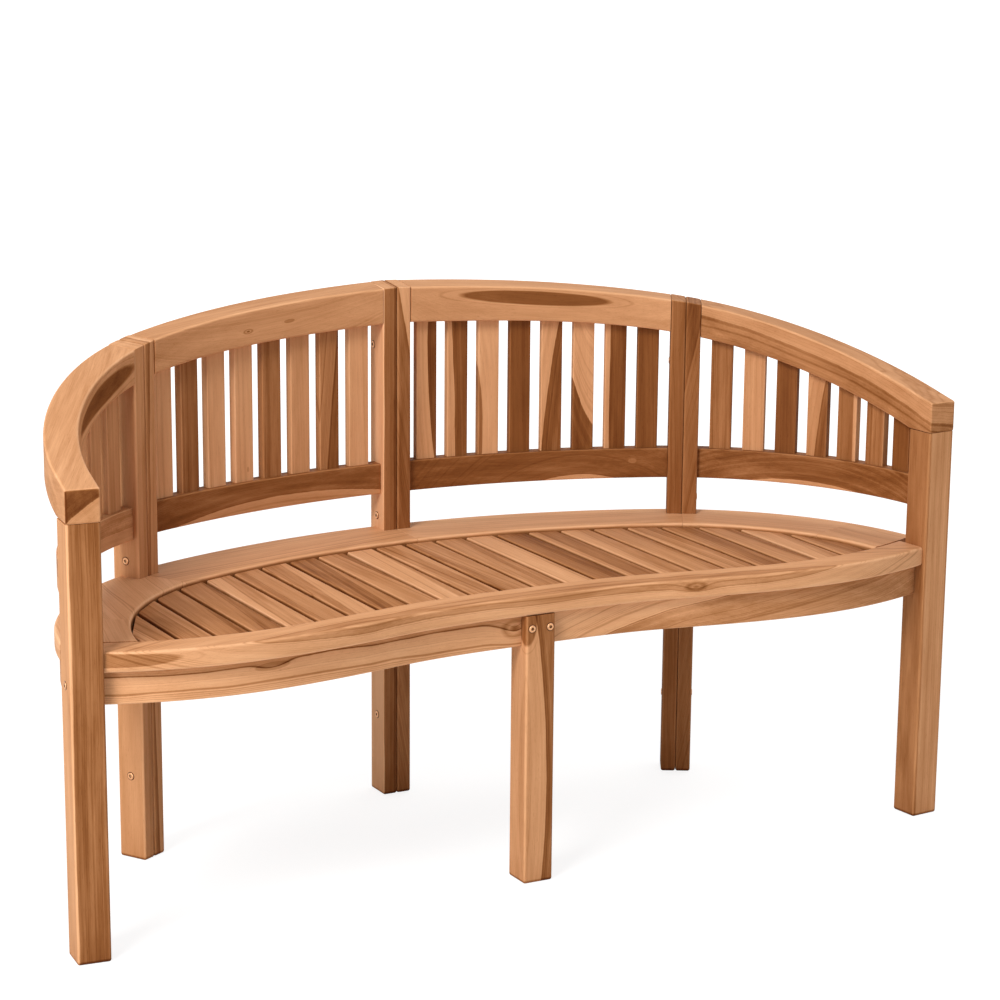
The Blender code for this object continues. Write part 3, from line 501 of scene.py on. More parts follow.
def half_post(name, s_post, direction, height, **figure):
    """One half of a split back post: direction is 1 for the half further along the arch."""
    alongs = sorted((direction * JOINT_GAP / 2, direction * POST / 2))
    grid = post_grid(s_post, alongs, crest, TOP_ARRIS)
    material = post_teak(name, s_post, direction * POST / 4, height / 2, **figure)
    paint_gap_shade_and_dark_feet(wooden(name, grid, f"{name}_half", material), FOOT_DARK_HEIGHT)


half_post(
    "back_centre_post_left", 0.0, -1, CREST_CENTRE, tone=0.67, end_tone=-0.33,
    **beyond(0.006, depth=0.14), **patch((0, -0.0125, 0), (9, 0.0016, 1), -0.51),
)
half_post(
    "back_centre_post_right", 0.0, 1, CREST_CENTRE, tone=0.27, end_tone=0.05,
    **beyond(0.0745, lean=-0.20, side=-1, depth=0.38),
)


# Corner posts: the same pairs of half posts, one of each pair belonging to the back panel
# and one to the arm panel, squared to the arch where the back turns into the arm.

half_post(
    "left_corner_post_inner", -s_corner, 1, CREST_CORNER, tone=0.38, end_tone=-0.18,
    **beyond(-0.006, bow=0.04, side=-1, depth=0.20),
)
half_post(
    "left_corner_post_outer", -s_corner, -1, CREST_CORNER, tone=0.40, end_tone=-0.12,
    **beyond(0.004, depth=0.06),
)
half_post(
    "right_corner_post_inner", s_corner, -1, CREST_CORNER, tone=0.73, end_tone=-0.24,
    streaks=0.12, sway=0.02,
)
half_post(
    "right_corner_post_outer", s_corner, 1, CREST_CORNER, tone=0.68, end_tone=-0.22,
    **beyond(-0.06, lean=0.20, side=-1, depth=0.16),
)


# Front posts: solid 50 mm square teak.  The outer two carry the ends of the arm rails on a
# stub, squared to the arch there, and the short one stands under the seat's middle.

FRONT_POST_TOP = 0.642
JOINT_ARRIS = 0.0005
SEAT_TOP = 0.455
BOARD = 0.030
CENTRE_POST_FACE = 0.008


def always(value):
    """Function that gives the same value everywhere."""
    return lambda *place: value


board_under = SEAT_TOP - BOARD
front_post_figures = (
    ("left", -1, dict(tone=0.32, rim=0.0, **above(0.0225, side=-1, depth=0.35))),
    ("right", 1, dict(tone=0.40, streaks=0.12, **above(-0.0205, side=-1, depth=0.22))),
)
for label, side, figure in front_post_figures:
    name = f"{label}_front_post_visual"
    alongs = sorted((-side * POST, 0.0))
    grid = post_grid(side * s_front, alongs, always(FRONT_POST_TOP), JOINT_ARRIS)
    material = post_teak(name, side * s_front, -side * POST / 2, FRONT_POST_TOP / 2, **figure)
    paint_gap_shade_and_dark_feet(wooden(name, grid, f"{label}_front_post", material), FOOT_DARK_HEIGHT)

centre_post_top = board_under - JOINT_GAP
centre_post_y = front_y + CENTRE_POST_FACE + POST / 2
name = "front_centre_post_visual"
grid = rounded_bar(
    (centre_post_top, POST, POST), POST_ARRIS, (POST_ARRIS, JOINT_ARRIS),
    lambda a, b, c: (b, centre_post_y + c, a + centre_post_top / 2), stations=12,
)
material = teak(
    name, (0, centre_post_y, centre_post_top / 2), ((0, 0, 1), (1, 0, 0), (0, 1, 0)),
    tone=0.34, **beyond(-0.0020, lean=-0.030, bow=-0.30, through=0.5, depth=0.36),
    # The dark patch at the top of the left face, beside the apron's end, is painted shade.
    **patch((0.206, -0.024, -0.022), (0.042, 0.018, 0.022), 0.36),
)
paint_gap_shade_and_dark_feet(wooden(name, grid, "front_centre_post", material), FOOT_DARK_HEIGHT)


# Top rails: curved teak, 50 mm wide, sawn from a thick plank, so the grain runs straight
# while the rail bends through it.  They are tenoned between the posts.

RAIL_ARRIS = 0.0040
ARM_TIP_ARRIS = 0.0022
UNDER_CENTRE, UNDER_CORNER = 0.797, 0.7595
UNDER_SLOPES = (-0.05, -0.17, -0.28)
SETTLING_STEPS = 6


def rail_under(s, *_):
    """Height of the top rail's underside: two cubics, then level over the front post."""
    s = np.abs(s)
    back = hermite(s, 0, s_corner, (UNDER_CENTRE, UNDER_CORNER), UNDER_SLOPES[:2])
    arm = hermite(s, s_corner, s_arm_end, (UNDER_CORNER, FRONT_POST_TOP), UNDER_SLOPES[1:])
    return np.where(s < s_corner, back, np.where(s < s_arm_end, arm, FRONT_POST_TOP))


def post_face(s_post, distance):
    """Function of out: where the arch crosses a plane parallel to a post's side."""
    point, along, _ = arch_axes(s_post)

    def crossing(out):
        s = s_post + distance
        for _ in range(SETTLING_STEPS):
            x, y = arch(s, out)
            s = s - ((x - point[0]) * along[0] + (y - point[1]) * along[1] - distance)
        return s

    return crossing


def bent_grid(ends, outs, heights, arris, end_arrises, stations):
    """Bar bent along the arch between two ends, given as functions of out."""
    middle = (ends[0](0.0) + ends[1](0.0)) / 2
    length = ends[1](0.0) - ends[0](0.0)
    width = outs[1](middle) - outs[0](middle)
    height = heights[1](middle, 0.0) - heights[0](middle, 0.0)

    def place(a, b, c):
        u, v, w = a / length + 0.5, b / width + 0.5, c / height + 0.5
        s = ends[0](0.0) + u * length
        out = outs[0](s) + v * (outs[1](s) - outs[0](s))
        s = ends[0](out) + u * (ends[1](out) - ends[0](out))
        low, high = heights[0](s, out), heights[1](s, out)
        x, y = arch(s, out)
        return x, y, low + w * (high - low)

    return rounded_bar((length, width, height), arris, end_arrises, place, stations)


def chord_teak(name, first, last, height, rise=0.0, **figure):
    """Teak whose grain runs straight from one end of a bent piece to the other."""
    start, end = np.array(arch(first, 0.0)), np.array(arch(last, 0.0))
    chord = np.array([*(end - start), rise])
    chord /= np.linalg.norm(chord)
    across = np.cross((0, 0, 1), chord)
    across /= np.linalg.norm(across)
    middle = (*((start + end) / 2), height)
    return teak(name, middle, (chord, across, np.cross(chord, across)), **figure)


panels = (("left", "arm"), ("left", "back"), ("right", "back"), ("right", "arm"))
posts = (
    (-s_front, POST), (-s_corner, POST / 2), (0.0, POST / 2), (s_corner, POST / 2), (s_front, POST)
)
panel_spans, panel_ends = {}, {}
for panel, (start, before), (end, after) in zip(panels, posts, posts[1:]):
    panel_spans[panel] = (start + before, end - after)
    panel_ends[panel] = ((start, before + JOINT_GAP), (end, -after - JOINT_GAP))
rail_figures = {
    ("left", "arm"): dict(
        tone=0.35, rings=0.3, streaks=0.0, start=0.0105, slope=(0.0, 0.62, 0.78), rim=0.0,
        end_depth=0.78, **patch((0.062, -0.02, 0.003), (0.140, 0.06, 0.021), 0.44),
    ),
    ("left", "back"): dict(
        tone=0.37, rings=0.5, **patch((0.05, -0.01, 0.004), (0.011, 0.03, 0.0032), 0.17, 0.008),
        **knot((-0.03, -0.006, 0.001), (0.007, 0.03, 0.003)),
    ),
    ("right", "back"): dict(
        tone=0.34, rings=0.5, streaks=0.03,
        **patch((-0.010, 0.0, 0.0155), (0.138, 0.05, 0.0118), 0.42),
    ),
    ("right", "arm"): dict(
        tone=0.38, rings=0.5, streaks=0.12, rim=0.10, sway=0.014,
        **above(0.010, lean=-0.03, bow=-0.10, side=-1, depth=0.17),
    ),
}
for (label, panel), figure in rail_figures.items():
    ends = panel_ends[label, panel]
    faces = [post_face(*end) for end in ends]
    end_arrises = [JOINT_ARRIS, JOINT_ARRIS]
    if panel == "arm":
        tip = 0 if label == "left" else 1
        faces[tip] = always(ends[tip][0])
        end_arrises[tip] = ARM_TIP_ARRIS
    outs, heights = (always(-POST / 2), always(POST / 2)), (rail_under, crest)
    grid = bent_grid(faces, outs, heights, RAIL_ARRIS, end_arrises, stations=56)
    name = f"{label}_{panel}_top_rail_visual"
    span = panel_spans[label, panel]
    heights = [float(crest(s, 0.0) + rail_under(s)) / 2 for s in span]
    material = chord_teak(name, *span, sum(heights) / 2, heights[1] - heights[0], **figure)
    wooden(name, grid, f"{label}_{panel}_top_rail", material)


# Lower rails: curved teak, 26.5 mm thick, tenoned between the posts 60 mm above the seat.
# The slats of the back and arms stand on them.

LOWER_RAIL_RISE = 0.060
LOWER_RAIL_HEIGHT = 0.050
LOWER_RAIL_OUTS = (-0.015, 0.0115)
THIN_ARRIS = 0.0022

tight = (JOINT_ARRIS, JOINT_ARRIS)
lower_rail_under = SEAT_TOP + LOWER_RAIL_RISE
lower_rail_top = lower_rail_under + LOWER_RAIL_HEIGHT


def panel_bar(panel, outs, heights, stations):
    """Bar of a panel, bent between its posts, with an even thickness and height."""
    faces = [post_face(*end) for end in panel_ends[panel]]
    outs, heights = ([always(value) for value in pair] for pair in (outs, heights))
    return bent_grid(faces, outs, heights, THIN_ARRIS, tight, stations)


lower_rail_figures = {
    ("left", "arm"): dict(tone=0.30, **above(-0.004, depth=0.12)),
    ("left", "back"): dict(
        tone=0.39, rings=0.6, **above(-0.008, lean=0.035, bow=-0.35, depth=0.32),
    ),
    ("right", "back"): dict(
        tone=0.33, rings=0.35, slant=0.01, **above(-0.0285, lean=0.30, bow=-2.0, depth=0.43),
        **patch((0.165, 0.0, 0.004), (0.008, 0.02, 0.005), -0.12, 0.012),
    ),
    ("right", "arm"): dict(tone=0.34, **above(-0.017, lean=-0.02, bow=-0.9, depth=0.38)),
}
for (label, panel), figure in lower_rail_figures.items():
    heights = (lower_rail_under, lower_rail_top)
    grid = panel_bar((label, panel), LOWER_RAIL_OUTS, heights, stations=48)
    name = f"{label}_{panel}_lower_rail"
    material = chord_teak(name, *panel_spans[label, panel], sum(heights) / 2, **figure)
    wooden(name, grid, f"{label}_{panel}_lower_rail_with_slats", material)


# Back and arm slats: thin straight teak laths, 36 by 15 mm, housed at both ends in the
# rails and spread evenly.  Light sapwood and dark heartwood laths stand side by side.

BACK_SLAT = 0.015
BACK_SLAT_WIDTH = 0.036
HOUSING = 0.008

slat_letters = ("llmllmm", "lplkpmql", "bcsdvwed", "pmdtfpd")
slat_kinds = {
    "l": dict(tone=0.24),
    "k": dict(tone=0.25, **patch((-0.091, 0.007, 0.0), (0.005, 0.0025, 0.02), 0.16, 0.003)),
    "m": dict(tone=0.37),
    "p": dict(tone=0.56, streaks=0.12, **beyond(-0.0145, depth=0.06)),
    "t": dict(tone=0.40, **beyond(0.004, lean=0.14, bow=0.5, depth=0.28)),
    "d": dict(tone=0.80),
    "q": dict(tone=0.50, streaks=0.14, **beyond(0.004, lean=0.09, through=0.3, depth=0.24)),
    "b": dict(tone=0.32, **beyond(0.003, lean=-0.05, bow=0.3, depth=0.46)),
    "c": dict(tone=0.34, **beyond(-0.0065, lean=-0.03, bow=-0.1, depth=0.48)),
    "s": dict(tone=0.25, **beyond(-0.0133, lean=-0.096, bow=-0.6, side=-1, depth=0.36)),
    "v": dict(tone=0.30, **beyond(-0.006, lean=0.125, bow=0.35, depth=0.46)),
    "w": dict(
        tone=0.28, start=-0.0123, slope=(-0.35, -0.78, 0.0), curve=(0.0, 12.0, 0.0), depth=0.50,
        streaks=0.08,
    ),
    "e": dict(tone=0.32, **beyond(-0.011, depth=0.50)),
    "f": dict(tone=0.64, **beyond(0.012, depth=-0.30)),
}


def slat_grid(s_slat):
    """Upright lath squared to the arch, from inside the lower rail to inside the top rail."""
    low = lower_rail_top - HOUSING
    length = float(rail_under(s_slat)) + HOUSING - low

    def place(a, b, c):
        top = rail_under(s_slat + b) + HOUSING
        return *squared(s_slat, b, c), low + (a / length + 0.5) * (top - low)

    size = (length, BACK_SLAT_WIDTH, BACK_SLAT)
    return rounded_bar(size, THIN_ARRIS, tight, place, stations=10)


for (label, panel), letters in zip(panels, slat_letters):
    first, last = panel_spans[label, panel]
    space = (last - first - len(letters) * BACK_SLAT_WIDTH) / (len(letters) + 1)
    for number, letter in enumerate(letters):
        s_slat = first + space + BACK_SLAT_WIDTH / 2 + number * (BACK_SLAT_WIDTH + space)
        name = f"{label}_{panel}_slat_{number + 1}"
        height = (lower_rail_top + float(rail_under(s_slat))) / 2
        material = post_teak(name, s_slat, 0.0, height, **slat_kinds[letter])
        wooden(name, slat_grid(s_slat), f"{label}_{panel}_lower_rail_with_slats", material)


# Aprons: 50 by 22 mm teak rails under the seat boards.  The back and side ones bend with
# the arch, and the two front ones follow the seat's double-lobed edge.

APRON_HEIGHT = 0.050
APRON = 0.022
FRONT_SHOULDER, FRONT_LOBE = 0.230, 0.480
APRON_Y = (0.024, 0.0095, -0.0225, 0.020)
SHOULDER_SLOPE, POST_SLOPE = -0.19, 0.40
SLOPE_STEP = 0.020

apron_top = board_under - JOINT_GAP
apron_under = board_under - APRON_HEIGHT
inner_face_x = WIDTH / 2 - POST * math.sin(ARM_END_ANGLE)


def apron_front(x):
    """Front face of the front apron in plan: three cubics from the middle to the post."""
    x = np.abs(x)
    middle = hermite(x, 0, FRONT_SHOULDER, APRON_Y[0:2], (0, SHOULDER_SLOPE))
    rise = hermite(x, FRONT_SHOULDER, FRONT_LOBE, APRON_Y[1:3], (SHOULDER_SLOPE, 0))
    lobe = hermite(x, FRONT_LOBE, inner_face_x, APRON_Y[2:4], (0, POST_SLOPE))
    return front_y + np.where(x < FRONT_SHOULDER, middle, np.where(x < FRONT_LOBE, rise, lobe))


def front(x, depth):
    """The y at x that lies depth metres behind the apron's front face, square to its curve."""
    slope = (apron_front(x + SLOPE_STEP) - apron_front(x - SLOPE_STEP)) / (2 * SLOPE_STEP)
    return apron_front(x) + depth * np.sqrt(1 + slope**2)


def inner_face(depth):
    """The x at which the front edge meets the right front post's inner face."""
    point, _, outward = arch_axes(s_front)
    x = inner_face_x
    for _ in range(SETTLING_STEPS):
        past = (x - point[0]) * outward[0] + (front(x, depth) - point[1]) * outward[1]
        x = x - (past + POST / 2 + JOINT_GAP) / outward[0]
    return x


def front_grid(ends, depths, heights, arris, stations):
    """Bar bent along the seat's front edge.  ends gives x at both ends as functions of depth."""
    length = ends[1](0.0) - ends[0](0.0)
    size = (length, depths[1] - depths[0], heights[1] - heights[0])

    def place(a, b, c):
        depth = b + sum(depths) / 2
        x = ends[0](depth) + (a / length + 0.5) * (ends[1](depth) - ends[0](depth))
        return x, front(x, depth), c + sum(heights) / 2

    return rounded_bar(size, arris, tight, place, stations)


apron_tones = (0.40, 0.46, 0.34, 0.46)
heights = (apron_under, apron_top)
apron_middle = sum(heights) / 2
for (label, panel), tone in zip(panels, apron_tones):
    kind = "side" if panel == "arm" else "back"
    grid = panel_bar((label, panel), (-APRON / 2, APRON / 2), heights, stations=40)
    name = f"{label}_{kind}_apron_visual"
    material = chord_teak(name, *panel_spans[label, panel], apron_middle, tone=tone)
    wooden(name, grid, f"{label}_{kind}_apron", material)

beside_post = POST / 2 + JOINT_GAP
front_apron_ends = {
    "left": (lambda depth: -inner_face(depth), always(-beside_post)),
    "right": (always(beside_post), inner_face),
}
front_apron_figures = {
    "left": dict(
        tone=0.26, start=-0.015, slope=(0.0, 0.0, 1.0), curve=(0.02, 0.0, 0.0), depth=0.16,
        sway=0.022, streaks=0.26, rim=0.50,
        **patch((-0.093, -0.01, 0.010), (0.030, 0.05, 0.0065), 0.16, 0.012),
        **knot((0.325, 0.01, 0.004), (0.018, 0.06, 0.012)),
    ),
    "right": dict(
        tone=0.22, start=0.034, slope=(0.20, 0.3, -1.0), curve=(-0.25, 0.0, 0.0), depth=0.24,
        sway=0.018, streaks=0.18, rim=0.22,
    ),
}
for label, ends in front_apron_ends.items():
    grid = front_grid(ends, (0.0, APRON), heights, THIN_ARRIS, stations=72)
    name = f"{label}_front_apron_visual"
    middle = ((ends[0](0.0) + ends[1](0.0)) / 2, front_y, apron_middle)
    material = teak(name, middle, ((1, 0, 0), (0, 1, 0), (0, 0, 1)), **front_apron_figures[label])
    wooden(name, grid, f"{label}_front_apron", material)


# Seat boards: 30 mm teak with well rounded edges.  The front board is one piece and stands
# 15 mm proud of its aprons.  The others meet in radial joints and are notched at the posts.

OVERHANG = 0.015
FRONT_BOARD = 0.056
SEAT_EDGE, SEAT_EDGE_FRONT = 0.015, 0.019
BACK_BOARD_INSIDE = 0.100
SIDE_BOARD_INSIDE = 0.088
SIDE_JOINT_ANGLE = math.radians(66.0)
BOARD_ARRIS = 0.0048
BOARD_GAP_SHADE_DEPTH = 0.0024
CUT_EDGE_ANGLE = math.radians(32.0)

s_side_joint = s_blend + ARM_RADIUS * (SIDE_JOINT_ANGLE - BLEND_ANGLE)
front_depths = (-OVERHANG, FRONT_BOARD - OVERHANG)


def board_inside(s):
    """Inner edge of the boards, as the distance outside the centreline: they narrow forward."""
    return (BACK_BOARD_INSIDE - SIDE_BOARD_INSIDE) * (s / s_front) ** 2 - BACK_BOARD_INSIDE


def board_outside(s):
    """Outer edge of the boards, which swells a little from the corner posts forward."""
    forward = np.clip((np.abs(s) - s_corner) / (s_front - s_corner), 0, 1)
    return SEAT_EDGE + (SEAT_EDGE_FRONT - SEAT_EDGE) * forward


def cutter(grid):
    """A closed block that cuts other pieces."""
    return placed("cutter", closed_mesh("cutter", grid))


def cut(piece, blocks):
    """Cuts blocks out of a piece and keeps the result as its mesh, with the cuts' edges sharp."""
    for block in blocks:
        boolean = piece.modifiers.new("cut", "BOOLEAN")
        boolean.operation = "DIFFERENCE"
        boolean.solver = "EXACT"
        boolean.object = block
    shown = piece.evaluated_get(bpy.context.evaluated_depsgraph_get())
    mesh = bpy.data.meshes.new_from_object(shown)
    piece.modifiers.clear()
    piece.data = mesh
    mesh.set_sharp_from_angle(angle=CUT_EDGE_ANGLE)


def post_block(s_post, alongs):
    """Block with a post's section, for the notch in a seat board."""
    size = (4 * BOARD, alongs[1] - alongs[0], POST + 2 * JOINT_GAP)

    def place(a, b, c):
        return *squared(s_post, b + sum(alongs) / 2, c), SEAT_TOP - BOARD / 2 + a

    return cutter(rounded_bar(size, JOINT_GAP, (JOINT_GAP, JOINT_GAP), place, stations=2))


name = "front_seat_board_visual"
grid = front_grid(
    (lambda depth: -inner_face(depth), inner_face),
    front_depths, (board_under, SEAT_TOP), BOARD_ARRIS, stations=140,
)
material = teak(
    name, (0, front_y, SEAT_TOP), ((1, 0, 0), (0, 1, 0), (0, 0, 1)),
    tone=0.25, streaks=0.16, sway=0.014, rim=0.14,
    **above(-0.021, bow=0.15, across=-0.5, depth=0.19),
    **patch((-0.705, 0.0, -0.0125), (0.120, 0.1, 0.0112), 0.30),
    **knot((0.262, -0.006, -0.012), (0.015, 0.02, 0.006)),
)
wooden(name, grid, "front_seat_board", material)

trim = cutter(front_grid(
    (always(-WIDTH / 2), always(WIDTH / 2)), (-2 * OVERHANG, front_depths[1] + JOINT_GAP),
    (board_under - BOARD, SEAT_TOP + BOARD), JOINT_GAP, stations=140,
))
notches = [post_block(0.0, (-beside_post, beside_post))]
for side in (-1, 1):
    notches.append(post_block(side * s_corner, (-beside_post, beside_post)))
    notches.append(post_block(side * s_front, sorted((-side * (POST + JOINT_GAP), side * POST))))

board_spans = {
    "back": (0.0, s_corner),
    "corner": (s_corner, s_side_joint),
    "side": (s_side_joint, s_front),
}
board_figures = {
    ("left", "back"): dict(tone=0.30, streaks=0.10),
    ("right", "back"): dict(tone=0.25, streaks=0.10),
    ("left", "corner"): dict(tone=0.20, slant=0.75, rings=0.4, streaks=0.20, sway=0.03),
    ("right", "corner"): dict(tone=0.22, streaks=0.08),
    ("left", "side"): dict(tone=0.20, streaks=0.12),
    ("right", "side"): dict(tone=0.24, streaks=0.10),
}
for (label, kind), figure in board_figures.items():
    side = -1 if label == "left" else 1
    first, last = sorted(side * s for s in board_spans[kind])
    first, last = first + JOINT_GAP / 2, last - JOINT_GAP / 2
    ends, outs = (always(first), always(last)), (board_inside, board_outside)
    heights = (always(board_under), always(SEAT_TOP))
    grid = bent_grid(ends, outs, heights, BOARD_ARRIS, tight, stations=48)
    name = f"{label}_{kind}_seat_board_visual"
    material = chord_teak(name, first, last, SEAT_TOP, **figure)
    board = wooden(name, grid, f"{label}_{kind}_seat_board", material)
    cut(board, notches + ([trim] if kind == "side" else []))
    # Painted shade on the boards' inner faces, low down where they stand over the slats.
    paint_gap_shade_and_dark_feet(board, SEAT_TOP - BOARD_GAP_SHADE_DEPTH, (0.0, corner_y))
for block in notches + [trim]:
    bpy.data.objects.remove(block)


# Seat slats: 47 by 25 mm teak, running from front to back, 6 mm below the boards.  Their
# ends follow the boards' edges, where hidden tongues hold them.

SLAT_SINK = 0.006
SEAT_SLAT = 0.025
SEAT_SLAT_WIDTH = 0.047
SEAT_SLAT_SPACE = 0.0073
SLAT_END_GAP = 0.0012
SLAT_ARRIS = 0.0028
SLAT_GAP_SHADE_DEPTH = 0.0012
EDGE_POINTS = 400

slat_top = SEAT_TOP - SLAT_SINK
inner_edge_s = np.linspace(0, s_front, EDGE_POINTS)
inner_edge_x, inner_edge_y = arch(inner_edge_s, board_inside(inner_edge_s) - SLAT_END_GAP)


def field_back(x):
    """Back edge of the slatted field at x, read off the boards' inner edge."""
    return np.interp(np.abs(x), inner_edge_x, inner_edge_y)


def seat_slat_grid(middle):
    """Bar from front to back whose ends are cut along the two edges of the field."""
    length = float(field_back(middle) - front(middle, front_depths[1]))

    def place(a, b, c):
        x = middle + c
        low = front(x, front_depths[1] + SLAT_END_GAP)
        return x, low + (a / length + 0.5) * (field_back(x) - low), slat_top - SEAT_SLAT / 2 + b

    size = (length, SEAT_SLAT, SEAT_SLAT_WIDTH)
    return rounded_bar(size, SLAT_ARRIS, (SLAT_ARRIS, SLAT_ARRIS), place, stations=8)


seat_tones = dict(light=0.24, mild=0.33, mid=0.42, deep=0.50, dark=0.60)
seat_shades = (
    "mild mid deep deep light mid mild deep mid light mild mid "
    "mid light dark mid mild mid mid deep mid light mid"
).split()
for number, shade in enumerate(seat_shades, -(len(seat_shades) // 2)):
    middle = number * (SEAT_SLAT_WIDTH + SEAT_SLAT_SPACE)
    label = "left" if number < 0 else "right"
    node = f"{label}_seat_slat_{abs(number):02d}" if number else "centre_seat_slat"
    name = node + "_visual"
    y_middle = float(front(middle, front_depths[1]) + field_back(middle)) / 2
    side = 1 if draw.uniform() < 0.5 else -1
    material = teak(
        name, (middle, y_middle, slat_top), ((0, 1, 0), (1, 0, 0), (0, 0, -1)),
        tone=seat_tones[shade], streaks=draw.uniform(0.04, 0.16),
        **beyond(
            draw.uniform(-0.012, 0.02), lean=draw.uniform(-0.08, 0.08), side=side,
            through=draw.uniform(-0.4, 0.4), depth=draw.uniform(0.08, 0.18),
        ),
    )
    slat = wooden(name, seat_slat_grid(middle), node, material)
    # Painted shade on the slats' sides, down in the gaps between them.
    paint_gap_shade_and_dark_feet(slat, slat_top - SLAT_GAP_SHADE_DEPTH)


# Centre bearer: a 30 mm teak bar under the middle slats, tenoned between the front centre
# post and the back centre post.

BEARER = 0.030

bearer_ends = (centre_post_y + POST / 2 + JOINT_GAP, back_y + back_radius - POST / 2 - JOINT_GAP)
bearer_middle = (sum(bearer_ends) / 2, apron_middle)

name = "centre_bearer_visual"
grid = rounded_bar(
    (bearer_ends[1] - bearer_ends[0], apron_top - apron_under, BEARER), THIN_ARRIS, tight,
    lambda a, b, c: (c, bearer_middle[0] + a, bearer_middle[1] + b), stations=12,
)
material = teak(name, (0, *bearer_middle), ((0, 1, 0), (0, 0, 1), (1, 0, 0)), tone=0.48)
wooden(name, grid, "centre_bearer", material)


# Bolt heads: yellow passivated steel caps of connector bolts, 11 mm across, with a hexagon
# socket, tarnished inside, and a dark ring round the foot that is painted shade.  Those
# through the centre posts are solids of the frame too.

HEAD_RADIUS = 0.0056
HEAD_RISE = 0.0016
FOOT_RADIUS = 0.0066
SOCKET_RADIUS = 0.0024
SOCKET_DEPTH = 0.0042
HEAD_SEAT = 0.0002
SOCKET_RINGS = 3
HEAD_SIDES = 48
HEAD_EDGE_ANGLE = math.radians(40.0)


def bolt_steel():
    """Yellow passivated steel: warm and slightly uneven, brown where it is tarnished in the
    socket, and brown round the foot as painted shade.
    """
    material, tree, shader = new_material("bolt_steel")
    place = add(tree, "TexCoord").outputs["Object"]
    uneven = add(tree, "TexNoise", {"Scale": 420.0, "Detail": 3.0, "Vector": place}).outputs[0]
    colour = colour_ramp(tree, uneven, ((0.35, 0.72, 0.34, 0.15), (0.70, 0.92, 0.52, 0.28)))
    tarnish_and_shade = add(tree, "Attribute", attribute_name="tarnish_and_shade").outputs["Fac"]
    brown = (0.075, 0.028, 0.010, 1.0)
    tarnished_and_shaded = add(tree, "Mix", {"Factor": tarnish_and_shade, "A": colour, "B": brown}, data_type="RGBA")
    sheen = add(tree, "MapRange", {"Value": uneven, "To Min": 0.28, "To Max": 0.50})
    feed(shader, {
        "Metallic": 0.75, "Base Color": tarnished_and_shaded.outputs["Result"],
        "Roughness": sheen.outputs["Result"],
    })
    return material


steel = bolt_steel()


def head_grid(point, outward):
    """Turned cap: rings of a profile round the bolt's axis, six-sided inside the socket.

    Also gives each ring's darkening, which is full in the socket, tarnished there, and on the
    foot, where it is painted shade.
    """
    radii = np.array([
        SOCKET_RADIUS * 0.3, SOCKET_RADIUS, SOCKET_RADIUS, SOCKET_RADIUS * 1.12,
        HEAD_RADIUS * 0.80, HEAD_RADIUS * 0.93, HEAD_RADIUS, HEAD_RADIUS, FOOT_RADIUS, FOOT_RADIUS,
        HEAD_RADIUS * 0.5, HEAD_RADIUS * 0.2,
    ])
    rises = np.array([
        -SOCKET_DEPTH, -SOCKET_DEPTH, HEAD_RISE * 0.85, HEAD_RISE, HEAD_RISE,
        HEAD_RISE * 0.85, HEAD_RISE * 0.5, HEAD_SEAT * 2, HEAD_SEAT * 1.5, HEAD_SEAT,
        -SOCKET_DEPTH * 1.15, -SOCKET_DEPTH * 1.15,
    ])
    # 1 marks the tarnished socket and the foot ring, which is painted shade.
    tarnish_and_shade = np.array([1, 1, 1, 0, 0, 0, 0, 1, 1, 1, 1, 1])
    six_sided = (np.arange(len(radii)) < SOCKET_RINGS)[:, None]
    angle = np.linspace(0, 2 * math.pi, HEAD_SIDES, endpoint=False)
    hexagon = math.cos(math.pi / 6) / np.cos((angle % (math.pi / 3)) - math.pi / 6)
    reach = radii[:, None] * np.where(six_sided, hexagon, 1.0)
    outward = np.array(outward, float)
    side = np.cross((0, 0, 1), outward)
    side /= np.linalg.norm(side)
    up = np.cross(outward, side)
    offset = reach[..., None] * (np.cos(angle)[:, None] * side + np.sin(angle)[:, None] * up)
    return np.array(point) + offset + rises[:, None, None] * outward, tarnish_and_shade


def bolt_head(name, point, outward, node=None):
    """One cap, standing for the frame's bolt where there is one."""
    grid, tarnish_and_shade = head_grid(point, outward)
    head = placed(name, closed_mesh(name, grid[::-1]))
    head.data.set_sharp_from_angle(angle=HEAD_EDGE_ANGLE)
    tarnish_and_shade_marks = head.data.attributes.new("tarnish_and_shade", "FLOAT", "POINT")
    tarnish_and_shade_marks.data.foreach_set("value", np.repeat(tarnish_and_shade[::-1], grid.shape[1]))
    head.data.materials.append(steel)
    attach(head, "root")
    if node:
        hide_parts(node)


TOP_BOLT_DROP = 0.102
SEAT_BOLT_DROP = 0.020
CENTRE_BOLT_SIDE = 0.0155
LOW_BOLT, CENTRE_BOLT, RAIL_BOLT, ARM_BOLT, FRONT_BOLT = 0.135, 0.476, 0.712, 0.480, 0.408

